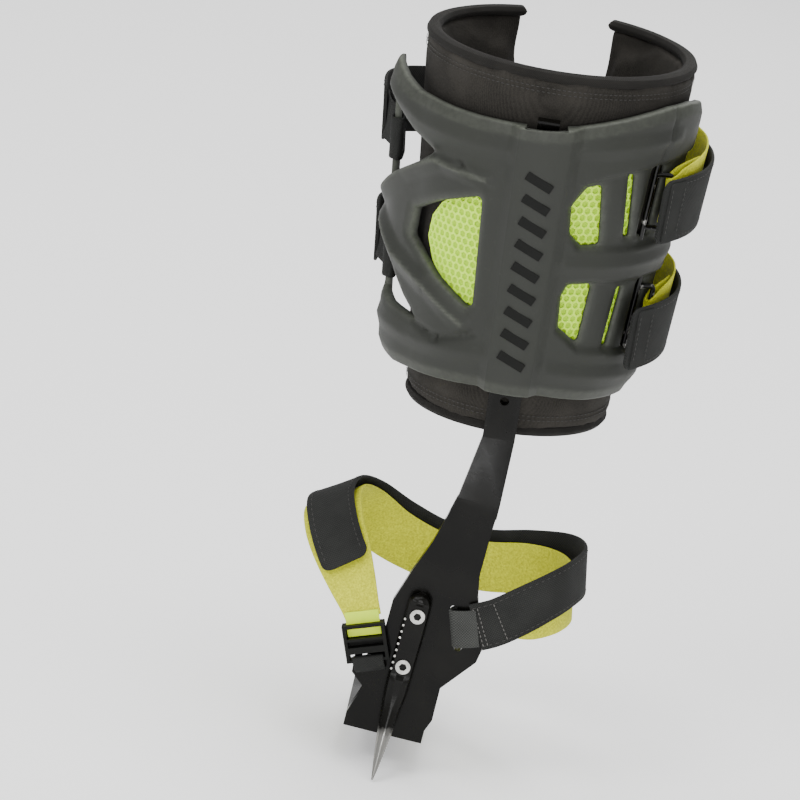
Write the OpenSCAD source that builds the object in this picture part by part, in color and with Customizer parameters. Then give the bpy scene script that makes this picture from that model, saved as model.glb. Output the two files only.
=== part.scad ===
// Tree climbing spur for the right leg: steel shank with a tread, bolt-on gaff,
// height-adjustable calf cuff with a sprung lock, two calf straps and two foot straps.
// X runs from the toes (-X) to the heel (+X), -Y is the inner side of the leg, Z is up.
// The origin is the middle of the tread's top face.

/* [Shank] */
// Width of the tread along the foot
tread_w = 45; // [40:1:50]
// Clear width between the side plate and the outer lip
boot_room = 90; // [86:1:94]
// Thickness of the steel plate
steel_t = 5; // [4:0.5:6]
// Width of the bar inside the cuff
bar_w = 18; // [16:1:20]
// Distance between the height holes
hole_pitch = 10; // [10:1:12]
// Diameter of the height holes
hole_d = 5; // [4:0.5:6]

/* [Gaff] */
// Distance between the two gaff screws
gaff_screw_pitch = 31; // [28:1:34]
// How far the tip stands out from the side plate
gaff_reach = 24; // [18:1:28]
// How far the tip reaches below the tread's top face
gaff_drop = 24; // [18:1:30]

/* [Cuff] */
// Outer radius of the shell at its lower edge
shell_r = 66; // [62:1:70]
// Height of the shell
shell_h = 160; // [150:1:170]
// Growth of the shell's radius over its height
shell_flare = 14; // [10:1:18]
// Wall thickness of the shell
shell_t = 4; // [3:0.5:5]
// Thickness of the calf pad
pad_t = 8.5; // [7:0.5:10]
// Forward lean of the cuff in degrees
cuff_lean = 5; // [3:0.5:7]

/* [Straps] */
// Width of the calf straps
calf_strap_w = 38; // [34:1:42]
// Width of the black foot strap
heel_strap_w = 28; // [25:1:32]
// Thickness of a strap
strap_t = 2; // [1.6:0.2:2.4]

/* [Hidden] */

black = [0.07, 0.07, 0.06];
shell_grey = [0.27, 0.29, 0.27];
pad_black = [0.10, 0.10, 0.10];
lime = [0.80, 0.90, 0.40];
fleece = [0.72, 0.75, 0.30];
steel = [0.70, 0.70, 0.68];

side_y = -boot_room / 2;               // inner face of the side plate
face_y = side_y - steel_t;             // outer face of the side plate
cuff_at = [20, 20, 206];               // centre of the shell's lower edge
side_lean = atan(shell_flare / shell_h); // sideways lean of the slide direction
bar_gap = 0.4;                         // gap round the bar in its channel
bar_top = 153;                         // heights of the bar, along the slide
bar_foot = -28;
first_hole = -5;
hole_count = 16;
pin_z = 95;                            // height of the lock pin in the cuff
rib_z = [-2, 156];                     // ends of the shell's rib
rib_h = 7;                             // how far the rib stands proud
shell_front = -98;                     // angles of the shell's ends, 0 facing -Y
shell_rear = 95;
pad_gap = 2.5;                         // space between the shell and the pad
pad_z = [-20, 180];
pad_ends = 160;                        // the pad stops at this angle on both sides
binding_h = 6;
plate_z = [18, 72];                    // ends of the guide plate
plate_y = 5.8;                         // its outer face
rivet_x = 11.8;
rivet_z = [36, 64];
rivet_d = 3;
lever_z = 25;                          // height of the lever's pivot
lever_y = [-1, 0.2];                   // faces of the lever
lever_top = 162;
lever_eye = 4.4;
pivot_d = 2.2;
pivot_y = -2.15;
screw_d = 5;
gaff_low_screw = [2, 40];
gaff_t = 8;
gaff_w = 15;
plate_edge = [                         // outline of the side plate, X and Z
  [-22.5, -5], [-22.5, 3], [-17, 20], [-25, 27], [-26, 44], [-13, 50], [-12.5, 74],
  [-6, 94], [1, 113], [5, 128], [8.3, 142], [32.2, 142], [31.5, 128], [31, 100],
  [33, 88], [42.5, 58], [41, 50], [25.3, 30], [25.3, 10], [22.5, 3], [22.5, -5]
];

// Radius of the shell's outer face at a height in the cuff
function shell_radius(z) = shell_r + shell_flare * z / shell_h;

// A point at an angle, a distance off the shell's outer face and a height
function on_cone(a, off, z) =
  let (r = shell_radius(z) + off) [r * sin(a), -r * cos(a), z];

// Smooth curve through hand-set points, with n steps to each span
function curve_at(p, i, u) =
  let (
    last = len(p) - 1,
    a = p[max(i - 1, 0)], b = p[i], c = p[min(i + 1, last)], d = p[min(i + 2, last)]
  )
  0.5 * (2 * b + (c - a) * u + (2 * a - 5 * b + 4 * c - d) * u * u
    + (3 * b - a - 3 * c + d) * u * u * u);
function smooth_path(p, n) = concat(
  [for (i = [0:len(p) - 2], k = [0:n - 1]) curve_at(p, i, k / n)], [p[len(p) - 1]]);
function unit(v) = v / norm(v);

// Flat band along points, with its width direction and width at each point.
// The band starts at point number first, moved on by start_gap, and ends at point last.
module ribbon(pts, across, widths, t, off = 0, first = 0, last = -1, start_gap = 0) {
  n = len(pts);
  end = last < 0 ? n - 1 : last;
  rings = [
    for (i = [first:end])
      let (
        along = unit(pts[min(i + 1, n - 1)] - pts[max(i - 1, 0)]),
        out = unit(cross(along, across[i])),
        up = unit(cross(out, along)),
        base = pts[i] + out * off + (i == first ? along * start_gap : [0, 0, 0]),
        h = widths[i] / 2
      )
      each [base - up * h, base + up * h, base + up * h + out * t, base - up * h + out * t]
  ];
  e = 4 * (end - first);
  sides = [
    for (i = [0:end - first - 1], k = [0:3])
      let (a = 4 * i + k, b = 4 * i + (k + 1) % 4)
      each [[a, b, b + 4], [a, b + 4, a + 4]]
  ];
  polyhedron(points = rings, faces = concat(sides, [[3, 2, 1], [3, 1, 0],
    [e, e + 1, e + 2], [e, e + 2, e + 3]]));
}

module in_cuff() {
  translate(cuff_at) rotate([0, -cuff_lean, 0]) children();
}

// Frame of the height slide: Z along the bar, -Y outwards from the shell
module in_slide() {
  in_cuff() translate([0, -shell_r, 0]) rotate([side_lean, 0, 0]) children();
}

// Part of a cone-shaped wall between two angles, 0 facing -Y
module cone_wall(outer, inner, z0, z1, a0, a1) {
  rotate([0, 0, a0 - 90])
    rotate_extrude(angle = a1 - a0, $fn = 96)
      polygon([
        [shell_radius(z0) + inner, z0], [shell_radius(z0) + outer, z0],
        [shell_radius(z1) + outer, z1], [shell_radius(z1) + inner, z1]
      ]);
}

// Cutter for a window: outline in degrees round the shell and height
module window(outline, mid) {
  r = shell_radius(outline[0][1]);
  flat = [for (p = outline) [(p[0] - mid) * PI / 180 * shell_radius(p[1]), p[1]]];
  rotate([0, 0, mid]) translate([0, -r + 20, 0]) rotate([90, 0, 0])
    linear_extrude(50) offset(r = 2.5, $fn = 24) offset(delta = -2.5) polygon(flat);
}

module y_cylinder(x, y0, y1, z, d) {
  translate([x, y1, z]) rotate([90, 0, 0]) cylinder(d = d, h = y1 - y0, $fn = 32);
}

module upright_slot(x, z, length, width, lean) {
  translate([x, 0, z]) rotate([0, lean, 0])
    for (s = [-1, 1])
      hull() {
        translate([0, face_y - 1, s * length / 2]) rotate([-90, 0, 0])
          cylinder(d = width, h = steel_t + 2, $fn = 24);
        translate([0, face_y - 1, 0]) rotate([-90, 0, 0])
          cylinder(d = width, h = steel_t + 2, $fn = 24);
      }
}

// Point of the slide frame in the cuff's own frame, as Y and Z
function slide_point(y, z) = [
  -shell_r + y * cos(side_lean) - z * sin(side_lean), y * sin(side_lean) + z * cos(side_lean)];

// Bar with its bend: the side profile and the front outline, cut from one another
module bar() {
  foot_y = side_y - cuff_at[1];
  profile = [
    slide_point(bar_gap, bar_top), slide_point(bar_gap, bar_foot), [foot_y - steel_t, -64],
    [foot_y - steel_t, -72], [foot_y, -72], [foot_y, -64.6],
    slide_point(bar_gap + steel_t, bar_foot - 0.6), slide_point(bar_gap + steel_t, bar_top)
  ];
  outline = [
    [-bar_w / 2, bar_top + 20], [-bar_w / 2, -28], [-17.3, -64], [-18, -72],
    [6, -72], [6.7, -64], [bar_w / 2, -28], [bar_w / 2, bar_top + 20]
  ];
  in_cuff() intersection() {
    translate([-40, 0, 0]) rotate([90, 0, 90]) linear_extrude(80) polygon(profile);
    rotate([90, 0, 0]) linear_extrude(120) polygon(outline);
  }
}

module shank() color(black) {
  difference() {
    union() {
      translate([0, side_y, 0]) rotate([90, 0, 0])
        linear_extrude(steel_t) polygon(plate_edge);
      translate([-tread_w / 2, side_y - 1, -steel_t]) cube([tread_w, boot_room + 1, steel_t]);
      translate([-tread_w / 2 + 4, -side_y - 1.2, -steel_t])
        rotate([-8, 0, 0]) cube([tread_w - 8, steel_t, 17]);
      bar();
    }
    in_slide() for (i = [0:hole_count - 1])
      y_cylinder(0, -5, 10, first_hole + i * hole_pitch, hole_d);
    for (i = [0, 1])
      y_cylinder(gaff_low_screw[0] + i, face_y - 1, side_y + 1,
        gaff_low_screw[1] + i * gaff_screw_pitch, screw_d);
    upright_slot(25.5, 67, 22, 5, -19);
    upright_slot(-19.3, 36, 9, 4, -8);
  }
}

module gaff() color(black) {
  tip = [0.5, face_y - gaff_reach, -gaff_drop];
  difference() {
    union() {
      translate([0, face_y - 0.05, 0]) rotate([90, 0, 0]) linear_extrude(gaff_t)
        hull() {
          translate([2.8, 83]) circle(d = gaff_w - 1, $fn = 48);
          translate([1.5, 26]) circle(d = gaff_w, $fn = 48);
        }
      hull() {
        translate([1.5, face_y - 0.6, 24]) rotate([90, 0, 0])
          cylinder(d = gaff_w - 2, h = gaff_t - 1.2, $fn = 32);
        translate([1, face_y - 11, 4]) sphere(d = 9, $fn = 24);
      }
      hull() {
        translate([1, face_y - 10.6, 5]) sphere(d = 8, $fn = 24);
        translate(tip) sphere(d = 1.4, $fn = 12);
      }
    }
    for (i = [0, 1]) {
      z = gaff_low_screw[1] + i * gaff_screw_pitch;
      y_cylinder(gaff_low_screw[0] + i, face_y - gaff_t - 1, face_y + 1, z, screw_d + 0.4);
      y_cylinder(gaff_low_screw[0] + i, face_y - gaff_t - 1, face_y - 3.5, z, 9);
    }
  }
}

module gaff_screws() color(steel) {
  for (i = [0, 1]) {
    x = gaff_low_screw[0] + i;
    z = gaff_low_screw[1] + i * gaff_screw_pitch;
    y_cylinder(x, face_y - 4, side_y, z, screw_d);
    difference() {
      y_cylinder(x, face_y - 8.6, face_y - 3.6, z, 8.4);
      translate([x, face_y - 6, z]) rotate([90, 0, 0]) cylinder(d = 4.6, h = 5, $fn = 6);
    }
  }
}

// Foot straps: middle line, width direction and width, from the inner heel
// round the back, along the outer side and over the instep
heel_path = [
  [36, -51.2, 71], [48, -50.5, 78], [67, -43, 92], [81, -27, 100], [88, 0, 101],
  [80, 28, 96], [60, 43, 88], [35, 49, 80], [8, 51, 78], [-18, 48, 86],
  [-40, 37, 99], [-55, 16, 109], [-60, -6, 110], [-55.5, -23, 102],
  [-48.5, -34, 92.5], [-42, -40, 85]
];
heel_across = [
  [-0.25, 0, 1], [-0.25, 0, 1], [-0.24, 0, 1], [-0.22, 0, 1], [-0.2, 0, 1],
  [-0.1, 0, 1], [0, 0, 1], [0, 0, 1], [0.1, 0, 1], [0.4, 0, 0.9],
  [0.65, 0, 0.75], [0.8, 0, 0.6], [0.87, 0, 0.5], [0.87, 0, 0.5],
  [0.87, 0, 0.5], [0.87, 0, 0.5]
];
instep_path = [
  [57, -42.5, 71], [66, -38, 76], [78, -24.5, 83], [84, 0, 85], [76, 24, 84],
  [59, 37.5, 80], [35, 44, 73], [8, 46, 71], [-20, 42, 79], [-41, 31, 93.5],
  [-54.5, 12, 103.5], [-57.5, -5, 104], [-53.3, -20.3, 97], [-45.3, -32, 87],
  [-36.5, -41.5, 75.5], [-29.5, -48, 66]
];
instep_across = [
  [-0.3, 0, 1], [-0.28, 0, 1], [-0.25, 0, 1], [-0.2, 0, 1], [-0.1, 0, 1],
  [0, 0, 1], [0, 0, 1], [0.1, 0, 1], [0.4, 0, 0.9], [0.65, 0, 0.75],
  [0.8, 0, 0.6], [0.87, 0, 0.5], [0.87, 0, 0.5], [0.87, 0, 0.45], [0.87, 0, 0.4],
  [0.87, 0, 0.37]
];
instep_widths = [26, 28, 30, 30, 30, 30, 30, 30, 32, 33, 34, 34, 34, 32, 26, 20];
foot_steps = 4;                         // steps to each span of a foot strap
tab_cut = 13 * foot_steps;              // where the free end starts on the heel strap
cut_gap = 0.5;

module foot_band(path, across, widths, off = 0, t = strap_t, first = 0, last = -1, gap = 0) {
  w = smooth_path([for (w = widths) [w]], foot_steps);
  ribbon(smooth_path(path, foot_steps), smooth_path(across, foot_steps), [for (k = w) k[0]],
    t, off, first, last, gap);
}

module heel_strap() color(black) {
  foot_band(heel_path, heel_across, [for (p = heel_path) heel_strap_w], last = tab_cut);
  // Sewn loop round the rear bar of the side plate
  loop = [[37, -51.9, 71], [31, -52.3, 69], [25.5, -52, 67.5], [25.4, -48, 67.3],
    [26.5, -43.4, 67.5], [33, -43.2, 69.5], [42, -45, 74], [49, -48.2, 78]];
  translate([0, -0.4, 0])
    foot_band(loop, [for (p = loop) [-0.33, 0, 1]], [for (p = loop) 22], -1.6, 1.6);
}

module instep_strap() color(fleece) {
  foot_band(instep_path, instep_across, instep_widths);
}

module instep_tab() color(black) {
  foot_band(heel_path, heel_across, [for (p = heel_path) heel_strap_w], first = tab_cut,
    gap = cut_gap);
}

module instep_hook_patch() color(pad_black) {
  foot_band(heel_path, heel_across, [for (p = heel_path) heel_strap_w - 5], -0.9, 0.7,
    first = tab_cut + 2, last = 15 * foot_steps - 1);
}

module at_buckle() {
  translate([-21.5, face_y - 0.6, 48]) rotate([0, -21.5, 0]) children();
}

module buckle_webbing() color([0.75, 0.95, 0.1]) {
  at_buckle() translate([-9.5, -3.4, 3.4]) cube([19, 1.4, 14.4]);
}

module ladder_lock_buckle() color(pad_black) {
  at_buckle() difference() {
    translate([-12, -6.6, -11]) cube([24, 6.4, 22]);
    translate([-10, -8, 3]) cube([20, 5.8, 6]);
    translate([-10, -8, -2.2]) cube([20, 5.8, 3.6]);
    translate([-10, -8, -9.4]) cube([20, 9, 3.4]);
    translate([-9.8, -3.6, 3]) cube([19.6, 1.8, 9]);
  }
}

module buckle_anchor_loop() color(black) {
  at_buckle() {
    translate([-9, -4.9, -16]) cube([18, 1.6, 4.7]);
    translate([-9, -1.9, -16]) cube([18, 1.6, 4.7]);
    translate([-9, -4.9, -17.6]) cube([18, 4.6, 1.6]);
  }
}

// Windows of the shell: outline in degrees and height, and the middle angle
windows = [
  [[[-92, 131], [-49, 125.5], [-90, 96]], -74],
  [[[-64, 85], [-64.5, 70], [-52, 62.6], [-42, 55], [-24, 44], [-21.7, 47], [-23, 110],
    [-44, 98]], -44],
  [[[-90, 57], [-90, 29], [-56, 27], [-81, 37]], -75],
  [[[15.2, 113], [20.4, 124], [27, 126.5], [31.5, 91], [22.5, 90.2], [16.5, 97]], 23],
  [[[18, 60], [20.2, 67], [31.5, 67.9], [31, 32.1], [19.4, 41.6]], 25],
  [[[37.5, 131], [42.5, 132], [46.8, 96], [42, 95]], 42],
  [[[46, 65], [51, 66], [49.5, 30], [44.5, 30]], 48]
];
ring_half = 17;                         // half height of a ring
rings = [[55, 115], [64, 47]];          // angle and middle height of each ring

module calf_shell() color(shell_grey) {
  difference() {
    in_cuff() difference() {
      cone_wall(0, -shell_t, -7, 170, shell_front, shell_rear);
      translate([0, 0, 165]) rotate([7, -4, 0])
        translate([-150, -150, 0]) cube([300, 300, 60]);
      translate([-150, -150, -62]) cube([300, 300, 60]);
      for (w = windows) window(w[0], w[1]);
      for (ring = rings) {
        a = ring[0];
        z = ring[1];
        h = ring_half + 3;
        window([[a - 3.5, z - h], [a - 3.5, z + h], [a + 6, z + h], [a + 6, z - h]], a + 1);
        translate(on_cone(a, -2, z)) rotate([0, 0, a]) rotate([side_lean, 0, 0])
          cylinder(d = 3.1, h = 2 * h + 8, center = true, $fn = 24);
      }
      rib_space();
    }
  }
  rib();
}

// Space in the shell's wall that the rib fills
module rib_space() {
  translate([0, -shell_r, 0]) rotate([side_lean, 0, 0])
    translate([-17, -5, -20]) cube([34, 20, 200]);
}

// Raised rib with the bar's channel, the lever's pocket and the notch for its tab
module rib() {
  in_slide() difference() {
    translate([0, 0, rib_z[0]]) linear_extrude(rib_z[1] - rib_z[0])
      polygon([[-17, 5.2], [-17, 0.5], [-13, -rib_h], [11, -rib_h], [17, 0.5], [17, 5.2]]);
    translate([-bar_w / 2 - bar_gap, 0, -10]) cube([bar_w + 2 * bar_gap, 9, 180]);
    translate([-7, -5, 20]) cube([14, 6, 160]);
    translate([-8, -12, 143]) cube([16, 12.1, 30]);
    translate([-12, pivot_y, lever_z]) rotate([0, 90, 0]) cylinder(d = pivot_d, h = 24, $fn = 24);
    for (x = [-rivet_x, rivet_x], z = rivet_z) y_cylinder(x, -3, 9, z, rivet_d);
  }
}

module calf_pad() color(pad_black) {
  difference() {
    in_cuff() cone_wall(-shell_t - pad_gap, -shell_t - pad_gap - pad_t, pad_z[0], pad_z[1],
      -pad_ends, pad_ends);
    in_slide() translate([-15, 0, plate_z[0] - 3])
      cube([30, plate_y + 2.7, plate_z[1] - plate_z[0] + 6]);
  }
}

module pad_binding(z) {
  in_cuff() cone_wall(-shell_t - pad_gap + 0.6, -shell_t - pad_gap - pad_t - 0.6,
    z, z + binding_h, -pad_ends, pad_ends);
}

module pad_top_binding() color(black) pad_binding(pad_z[1] + 0.1);
module pad_bottom_binding() color(black) pad_binding(pad_z[0] - binding_h - 0.1);

module front_mesh() color(lime) {
  in_cuff() cone_wall(-shell_t - 0.6, -shell_t - pad_gap + 0.2, 40, 114, -68, -18);
}

module rear_mesh() color(lime) {
  in_cuff() cone_wall(-shell_t - 0.6, -shell_t - pad_gap + 0.2, 26, 136, 14.5, 52);
}

module guide_plate() color(steel) {
  in_slide() difference() {
    translate([-14, plate_y, plate_z[0]]) cube([28, 2, plate_z[1] - plate_z[0]]);
    for (x = [-rivet_x, rivet_x], z = rivet_z) y_cylinder(x, 0, 9, z, rivet_d);
  }
}

module guide_rivets() color(steel) {
  in_slide() for (x = [-rivet_x, rivet_x], z = rivet_z)
    y_cylinder(x, -3, plate_y + 2, z, rivet_d);
}

module lock_lever() color(steel) {
  in_slide() difference() {
    union() {
      translate([-6, lever_y[0], lever_z]) cube([12, lever_y[1] - lever_y[0], lever_top - lever_z]);
      translate([-6, lever_y[0] - 5, lever_top - 1.2]) cube([12, 5.1, 1.2]);
      translate([-6, pivot_y, lever_z]) rotate([0, 90, 0]) cylinder(d = lever_eye, h = 12, $fn = 32);
    }
    translate([-7, pivot_y, lever_z]) rotate([0, 90, 0])
      cylinder(d = pivot_d + 0.1, h = 14, $fn = 32);
    y_cylinder(0, -3, 2, pin_z, 4);
  }
}

module lock_pin() color(steel) {
  in_slide() {
    y_cylinder(0, lever_y[0] - 0.3, lever_y[1], pin_z, 4);
    y_cylinder(0, lever_y[1], 2.4, pin_z, hole_d - 0.2);
  }
}

module lock_pivot_pin() color(steel) {
  in_slide() translate([-12, pivot_y, lever_z]) rotate([0, 90, 0])
    cylinder(d = pivot_d, h = 24, $fn = 24);
}

module lock_spring() color(steel) {
  in_slide() translate([-4, -4.9, 30]) rotate([-4.5, 0, 0]) cube([8, 0.6, 24]);
}

// Rectangular strap ring with trunnions in the ends of the shell's slot
module strap_ring(ring) color(black) {
  ring_w = 13;
  in_cuff() translate(on_cone(ring[0], -2, ring[1])) rotate([0, 0, ring[0]])
    rotate([side_lean, 0, 0]) {
      cylinder(d = 3, h = 2 * ring_half + 12, center = true, $fn = 24);
      rotate([0, 0, -30]) rotate([90, 0, 0]) translate([0, 0, -1.4]) linear_extrude(2.8)
        difference() {
          translate([-1.2, -ring_half]) square([ring_w, 2 * ring_half]);
          translate([1.4, -ring_half + 2.8]) square([ring_w - 5.2, 2 * ring_half - 5.6]);
        }
    }
}

module upper_ring() strap_ring(rings[0]);
module lower_ring() strap_ring(rings[1]);

// Calf straps run from the shell's front bar round the outer side of the calf.
// Each point is the angle from the inner side towards the toes, the distance off
// the shell's outer face, and the rise above the strap's own slope.
tail_route = [[103, 8, -5], [110, 11, -1], [118, 11, 0], [127, 9, 0], [145, 3, 0],
  [165, -2, 0], [185, -3, 0], [205, 0, 0], [225, 6, 0], [240, 10, 0], [255, 13, 0],
  [270, 13.5, 0], [280, 13.2, 0], [289, 12.4, 0], [297, 11.2, 0], [305, 9.5, 0]];
route_steps = 4;                        // steps to each span of a calf strap
end_cut = 11 * route_steps;             // where the free end starts on a calf strap
loop_route = [[108, 11, -3], [103, 7.2, -6], [99, 1.9, -11], [92, 1.9, -13],
  [89.5, -2.4, -13], [92, -5.6, -13], [99, -5.6, -11], [102, -3, -8], [105, 4.4, -5],
  [108, 8.4, -3]];
front_heights = [128, 58];              // middle heights of the straps at the front
drops = [15, 20];                       // how much lower their rear ends lie

// The lime straps start at their rings
function base_route(ring) = [[351 - ring, 6.2, 4], [341 - ring, 9.4, 4], [268, 10, 4],
  [255, 9.6, 4], [240, 6.6, 4], [228, 3.4, 4]];

function strap_points(route, i) = [
  for (p = smooth_path(route, route_steps))
    on_cone(-p[0], p[1], front_heights[i] + p[2] - drops[i] * (p[0] - 94) / 200)];

// Width direction of a calf strap, along the slope of the shell
function strap_across(route, way) = [
  for (p = smooth_path(route, route_steps))
    way * [-sin(p[0]) * shell_flare / shell_h, -cos(p[0]) * shell_flare / shell_h, 1]];

module calf_band(route, i, t = strap_t, w = calf_strap_w, off = 0, first = 0, last = -1,
    gap = 0) {
  pts = strap_points(route, i);
  in_cuff() ribbon(pts, strap_across(route, -1), [for (p = pts) w], t, off, first, last, gap);
}

module tail_strap(i) color(black) {
  calf_band(tail_route, i, last = end_cut);
  calf_band(loop_route, i, 1.4, 24 - 4 * i);
}

module base_strap(i) color(fleece) {
  route = base_route(rings[i][0]);
  pts = strap_points(route, i);
  in_cuff() ribbon(pts, strap_across(route, 1), [for (p = pts) calf_strap_w], strap_t);
}

// The upper tab stops one span short of the lower one
module tab_strap(i) color(black)
  calf_band(tail_route, i, first = end_cut, last = (14 + i) * route_steps, gap = cut_gap);

module hook_patch(i) color(pad_black)
  calf_band(tail_route, i, 0.7, calf_strap_w - 6, -0.9, end_cut + 3, 13 * route_steps + 2);

module upper_tail_strap() tail_strap(0);
module lower_tail_strap() tail_strap(1);
module upper_base_strap() base_strap(0);
module lower_base_strap() base_strap(1);
module upper_tab() tab_strap(0);
module lower_tab() tab_strap(1);
module upper_hook_patch() hook_patch(0);
module lower_hook_patch() hook_patch(1);

shank();
gaff();
gaff_screws();
heel_strap();
instep_strap();
instep_tab();
instep_hook_patch();
buckle_webbing();
ladder_lock_buckle();
buckle_anchor_loop();
calf_shell();
calf_pad();
pad_top_binding();
pad_bottom_binding();
front_mesh();
rear_mesh();
guide_plate();
guide_rivets();
lock_lever();
lock_pin();
lock_pivot_pin();
lock_spring();
upper_ring();
lower_ring();
upper_base_strap();
lower_base_strap();
upper_tail_strap();
lower_tail_strap();
upper_tab();
lower_tab();
upper_hook_patch();
lower_hook_patch();
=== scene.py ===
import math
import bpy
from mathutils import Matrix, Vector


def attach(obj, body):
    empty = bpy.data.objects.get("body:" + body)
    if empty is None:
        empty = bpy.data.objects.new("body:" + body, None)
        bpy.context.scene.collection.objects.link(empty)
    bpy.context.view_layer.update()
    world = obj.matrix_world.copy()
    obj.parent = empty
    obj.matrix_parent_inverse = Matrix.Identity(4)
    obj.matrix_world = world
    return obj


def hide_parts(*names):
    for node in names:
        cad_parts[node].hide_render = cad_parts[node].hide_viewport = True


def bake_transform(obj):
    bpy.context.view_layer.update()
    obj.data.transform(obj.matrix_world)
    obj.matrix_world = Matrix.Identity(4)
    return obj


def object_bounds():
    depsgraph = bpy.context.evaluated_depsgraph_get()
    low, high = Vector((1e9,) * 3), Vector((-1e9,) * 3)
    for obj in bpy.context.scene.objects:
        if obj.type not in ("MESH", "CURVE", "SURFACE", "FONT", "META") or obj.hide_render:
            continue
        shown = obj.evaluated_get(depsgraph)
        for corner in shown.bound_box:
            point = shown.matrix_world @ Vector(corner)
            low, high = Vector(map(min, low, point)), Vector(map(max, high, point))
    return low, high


bl_info = {
    "name": "Tree Climbing Spur",
    "version": (1, 0, 0),
    "blender": (4, 5, 0),
    "location": "3D View > Sidebar > Climbing Spur",
    "description": "Builds the shell, pad, straps and steel of a tree climbing spur "
                   "round its frame",
    "category": "Object",
}

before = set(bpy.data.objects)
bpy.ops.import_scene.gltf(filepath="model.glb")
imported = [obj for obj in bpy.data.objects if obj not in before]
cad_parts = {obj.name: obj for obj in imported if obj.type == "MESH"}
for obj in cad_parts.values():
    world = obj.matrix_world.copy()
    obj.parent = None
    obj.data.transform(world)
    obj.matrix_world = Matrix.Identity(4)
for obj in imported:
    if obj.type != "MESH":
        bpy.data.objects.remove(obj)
cad_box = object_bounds()

import bmesh
import bpy
import numpy as np
from bpy.props import FloatProperty, FloatVectorProperty, PointerProperty
from mathutils import Matrix, Vector

# Shapes are worked out in millimetres and turned into metres when a piece is finished.
MM = 0.001
SHELL_R = 66.0
SHELL_H = 160.0
SHELL_T = 4.0
FLARE = 14.0 / SHELL_H
CUFF = Matrix.Translation((20, 20, 206)) @ Matrix.Rotation(math.radians(-5), 4, "Y")
SLIDE = CUFF @ Matrix.Translation((0, -SHELL_R, 0)) @ Matrix.Rotation(math.atan(FLARE), 4, "X")


# ---------------------------------------------------------------- settings


class SpurSizes(bpy.types.PropertyGroup):
    """Sizes that a maker would change."""

    calf_strap: FloatProperty(
        name="Calf strap width", description="Width of the black calf straps",
        default=0.038, min=0.02, max=0.06, unit="LENGTH")
    foot_strap: FloatProperty(
        name="Foot strap width", description="Width of the black foot strap",
        default=0.028, min=0.015, max=0.04, unit="LENGTH")
    webbing: FloatProperty(
        name="Webbing thickness", description="Thickness of the straps",
        default=0.002, min=0.001, max=0.004, unit="LENGTH")
    shell_edge: FloatProperty(
        name="Shell edge radius", description="Rounding of the moulded shell's edges",
        default=0.0014, min=0.0005, max=0.003, unit="LENGTH")
    pad_swell: FloatProperty(
        name="Pad swell", description="Most that the pad's cloth may move outwards",
        default=0.002, min=0.0, max=0.004, unit="LENGTH")
    mesh_cell: FloatProperty(
        name="Mesh cell", description="Distance between the cells of the lime mesh",
        default=0.0046, min=0.003, max=0.008, unit="LENGTH")


def colour(name, description, value):
    return FloatVectorProperty(
        name=name, description=description, default=value, min=0, max=1, size=3, subtype="COLOR")


class SpurColours(bpy.types.PropertyGroup):
    """Colours of the finishes."""

    plastic: colour("Shell plastic", "Moulded calf shell", (0.0165, 0.0178, 0.0143))
    steel_paint: colour("Steel paint", "Gloss black powder coat", (0.0016, 0.0015, 0.0011))
    bare_steel: colour("Bare steel", "Screws, pins and worn edges", (0.55, 0.54, 0.51))
    webbing: colour("Webbing", "Black strap webbing", (0.0165, 0.0170, 0.0160))
    fleece: colour("Fleece", "Lime loop fleece straps", (0.66, 0.68, 0.030))
    tab: colour("Tab webbing", "Bright yellow pull tab", (0.60, 0.86, 0.02))
    mesh: colour("Lime mesh", "Honeycomb inlays", (0.54, 0.88, 0.012))
    pad: colour("Pad fabric", "Knit face of the pad", (0.0245, 0.0225, 0.0195))
    binding: colour("Binding", "Woven edge binding of the pad", (0.0120, 0.0112, 0.0100))
    thread: colour("Thread", "Sewing thread", (0.030, 0.029, 0.027))


# ---------------------------------------------------------------- shape helpers


WING_REACH = 9.0
WING_SPAN = (-55, -97)      # angles over which the wing springs out
WING_FADE = (-170, -105)    # angles over which the straps come back to the cone


def ease(value, start, end):
    """Smooth step from 0 at the start to 1 at the end."""
    t = min(max((value - start) / (end - start), 0.0), 1.0)
    return t * t * (3 - 2 * t)


def wing(angle):
    """Distance that the shell's front edge and its straps spring outwards."""
    return WING_REACH * ease(angle, *WING_SPAN) * ease(angle, *WING_FADE)


def on_cone(angle, off, z):
    """Point at an angle, a distance off the shell's outer face and a height, in the cuff."""
    a = math.radians(angle)
    r = SHELL_R + FLARE * z + off
    return Vector((r * math.sin(a), -r * math.cos(a), z))


def up_cone(angle):
    """Direction up the slope of the shell at an angle."""
    a = math.radians(angle)
    return Vector((FLARE * math.sin(a), -FLARE * math.cos(a), 1)).normalized()


def smooth_path(points, steps):
    """Smooth curve through given points."""
    rows = [Vector(p) for p in points]
    last = len(rows) - 1
    path = []
    for i in range(last):
        a, b, c, d = rows[max(i - 1, 0)], rows[i], rows[i + 1], rows[min(i + 2, last)]
        for k in range(steps):
            u = k / steps
            bend = (2 * a - 5 * b + 4 * c - d) * u * u + (3 * b - a - 3 * c + d) * u ** 3
            path.append(0.5 * (2 * b + (c - a) * u + bend))
    return path + [rows[-1]]


def strip_rows(points, across, widths):
    """Rows of a strip: place, direction along, up and out, distance from the start, width."""
    rows = []
    distance = 0.0
    last = len(points) - 1
    for i, point in enumerate(points):
        along = (points[min(i + 1, last)] - points[max(i - 1, 0)]).normalized()
        out = along.cross(across[i]).normalized()
        up = out.cross(along).normalized()
        if i:
            distance += (point - points[i - 1]).length
        rows.append((point, along, up, out, distance, widths[i]))
    return rows


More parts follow.
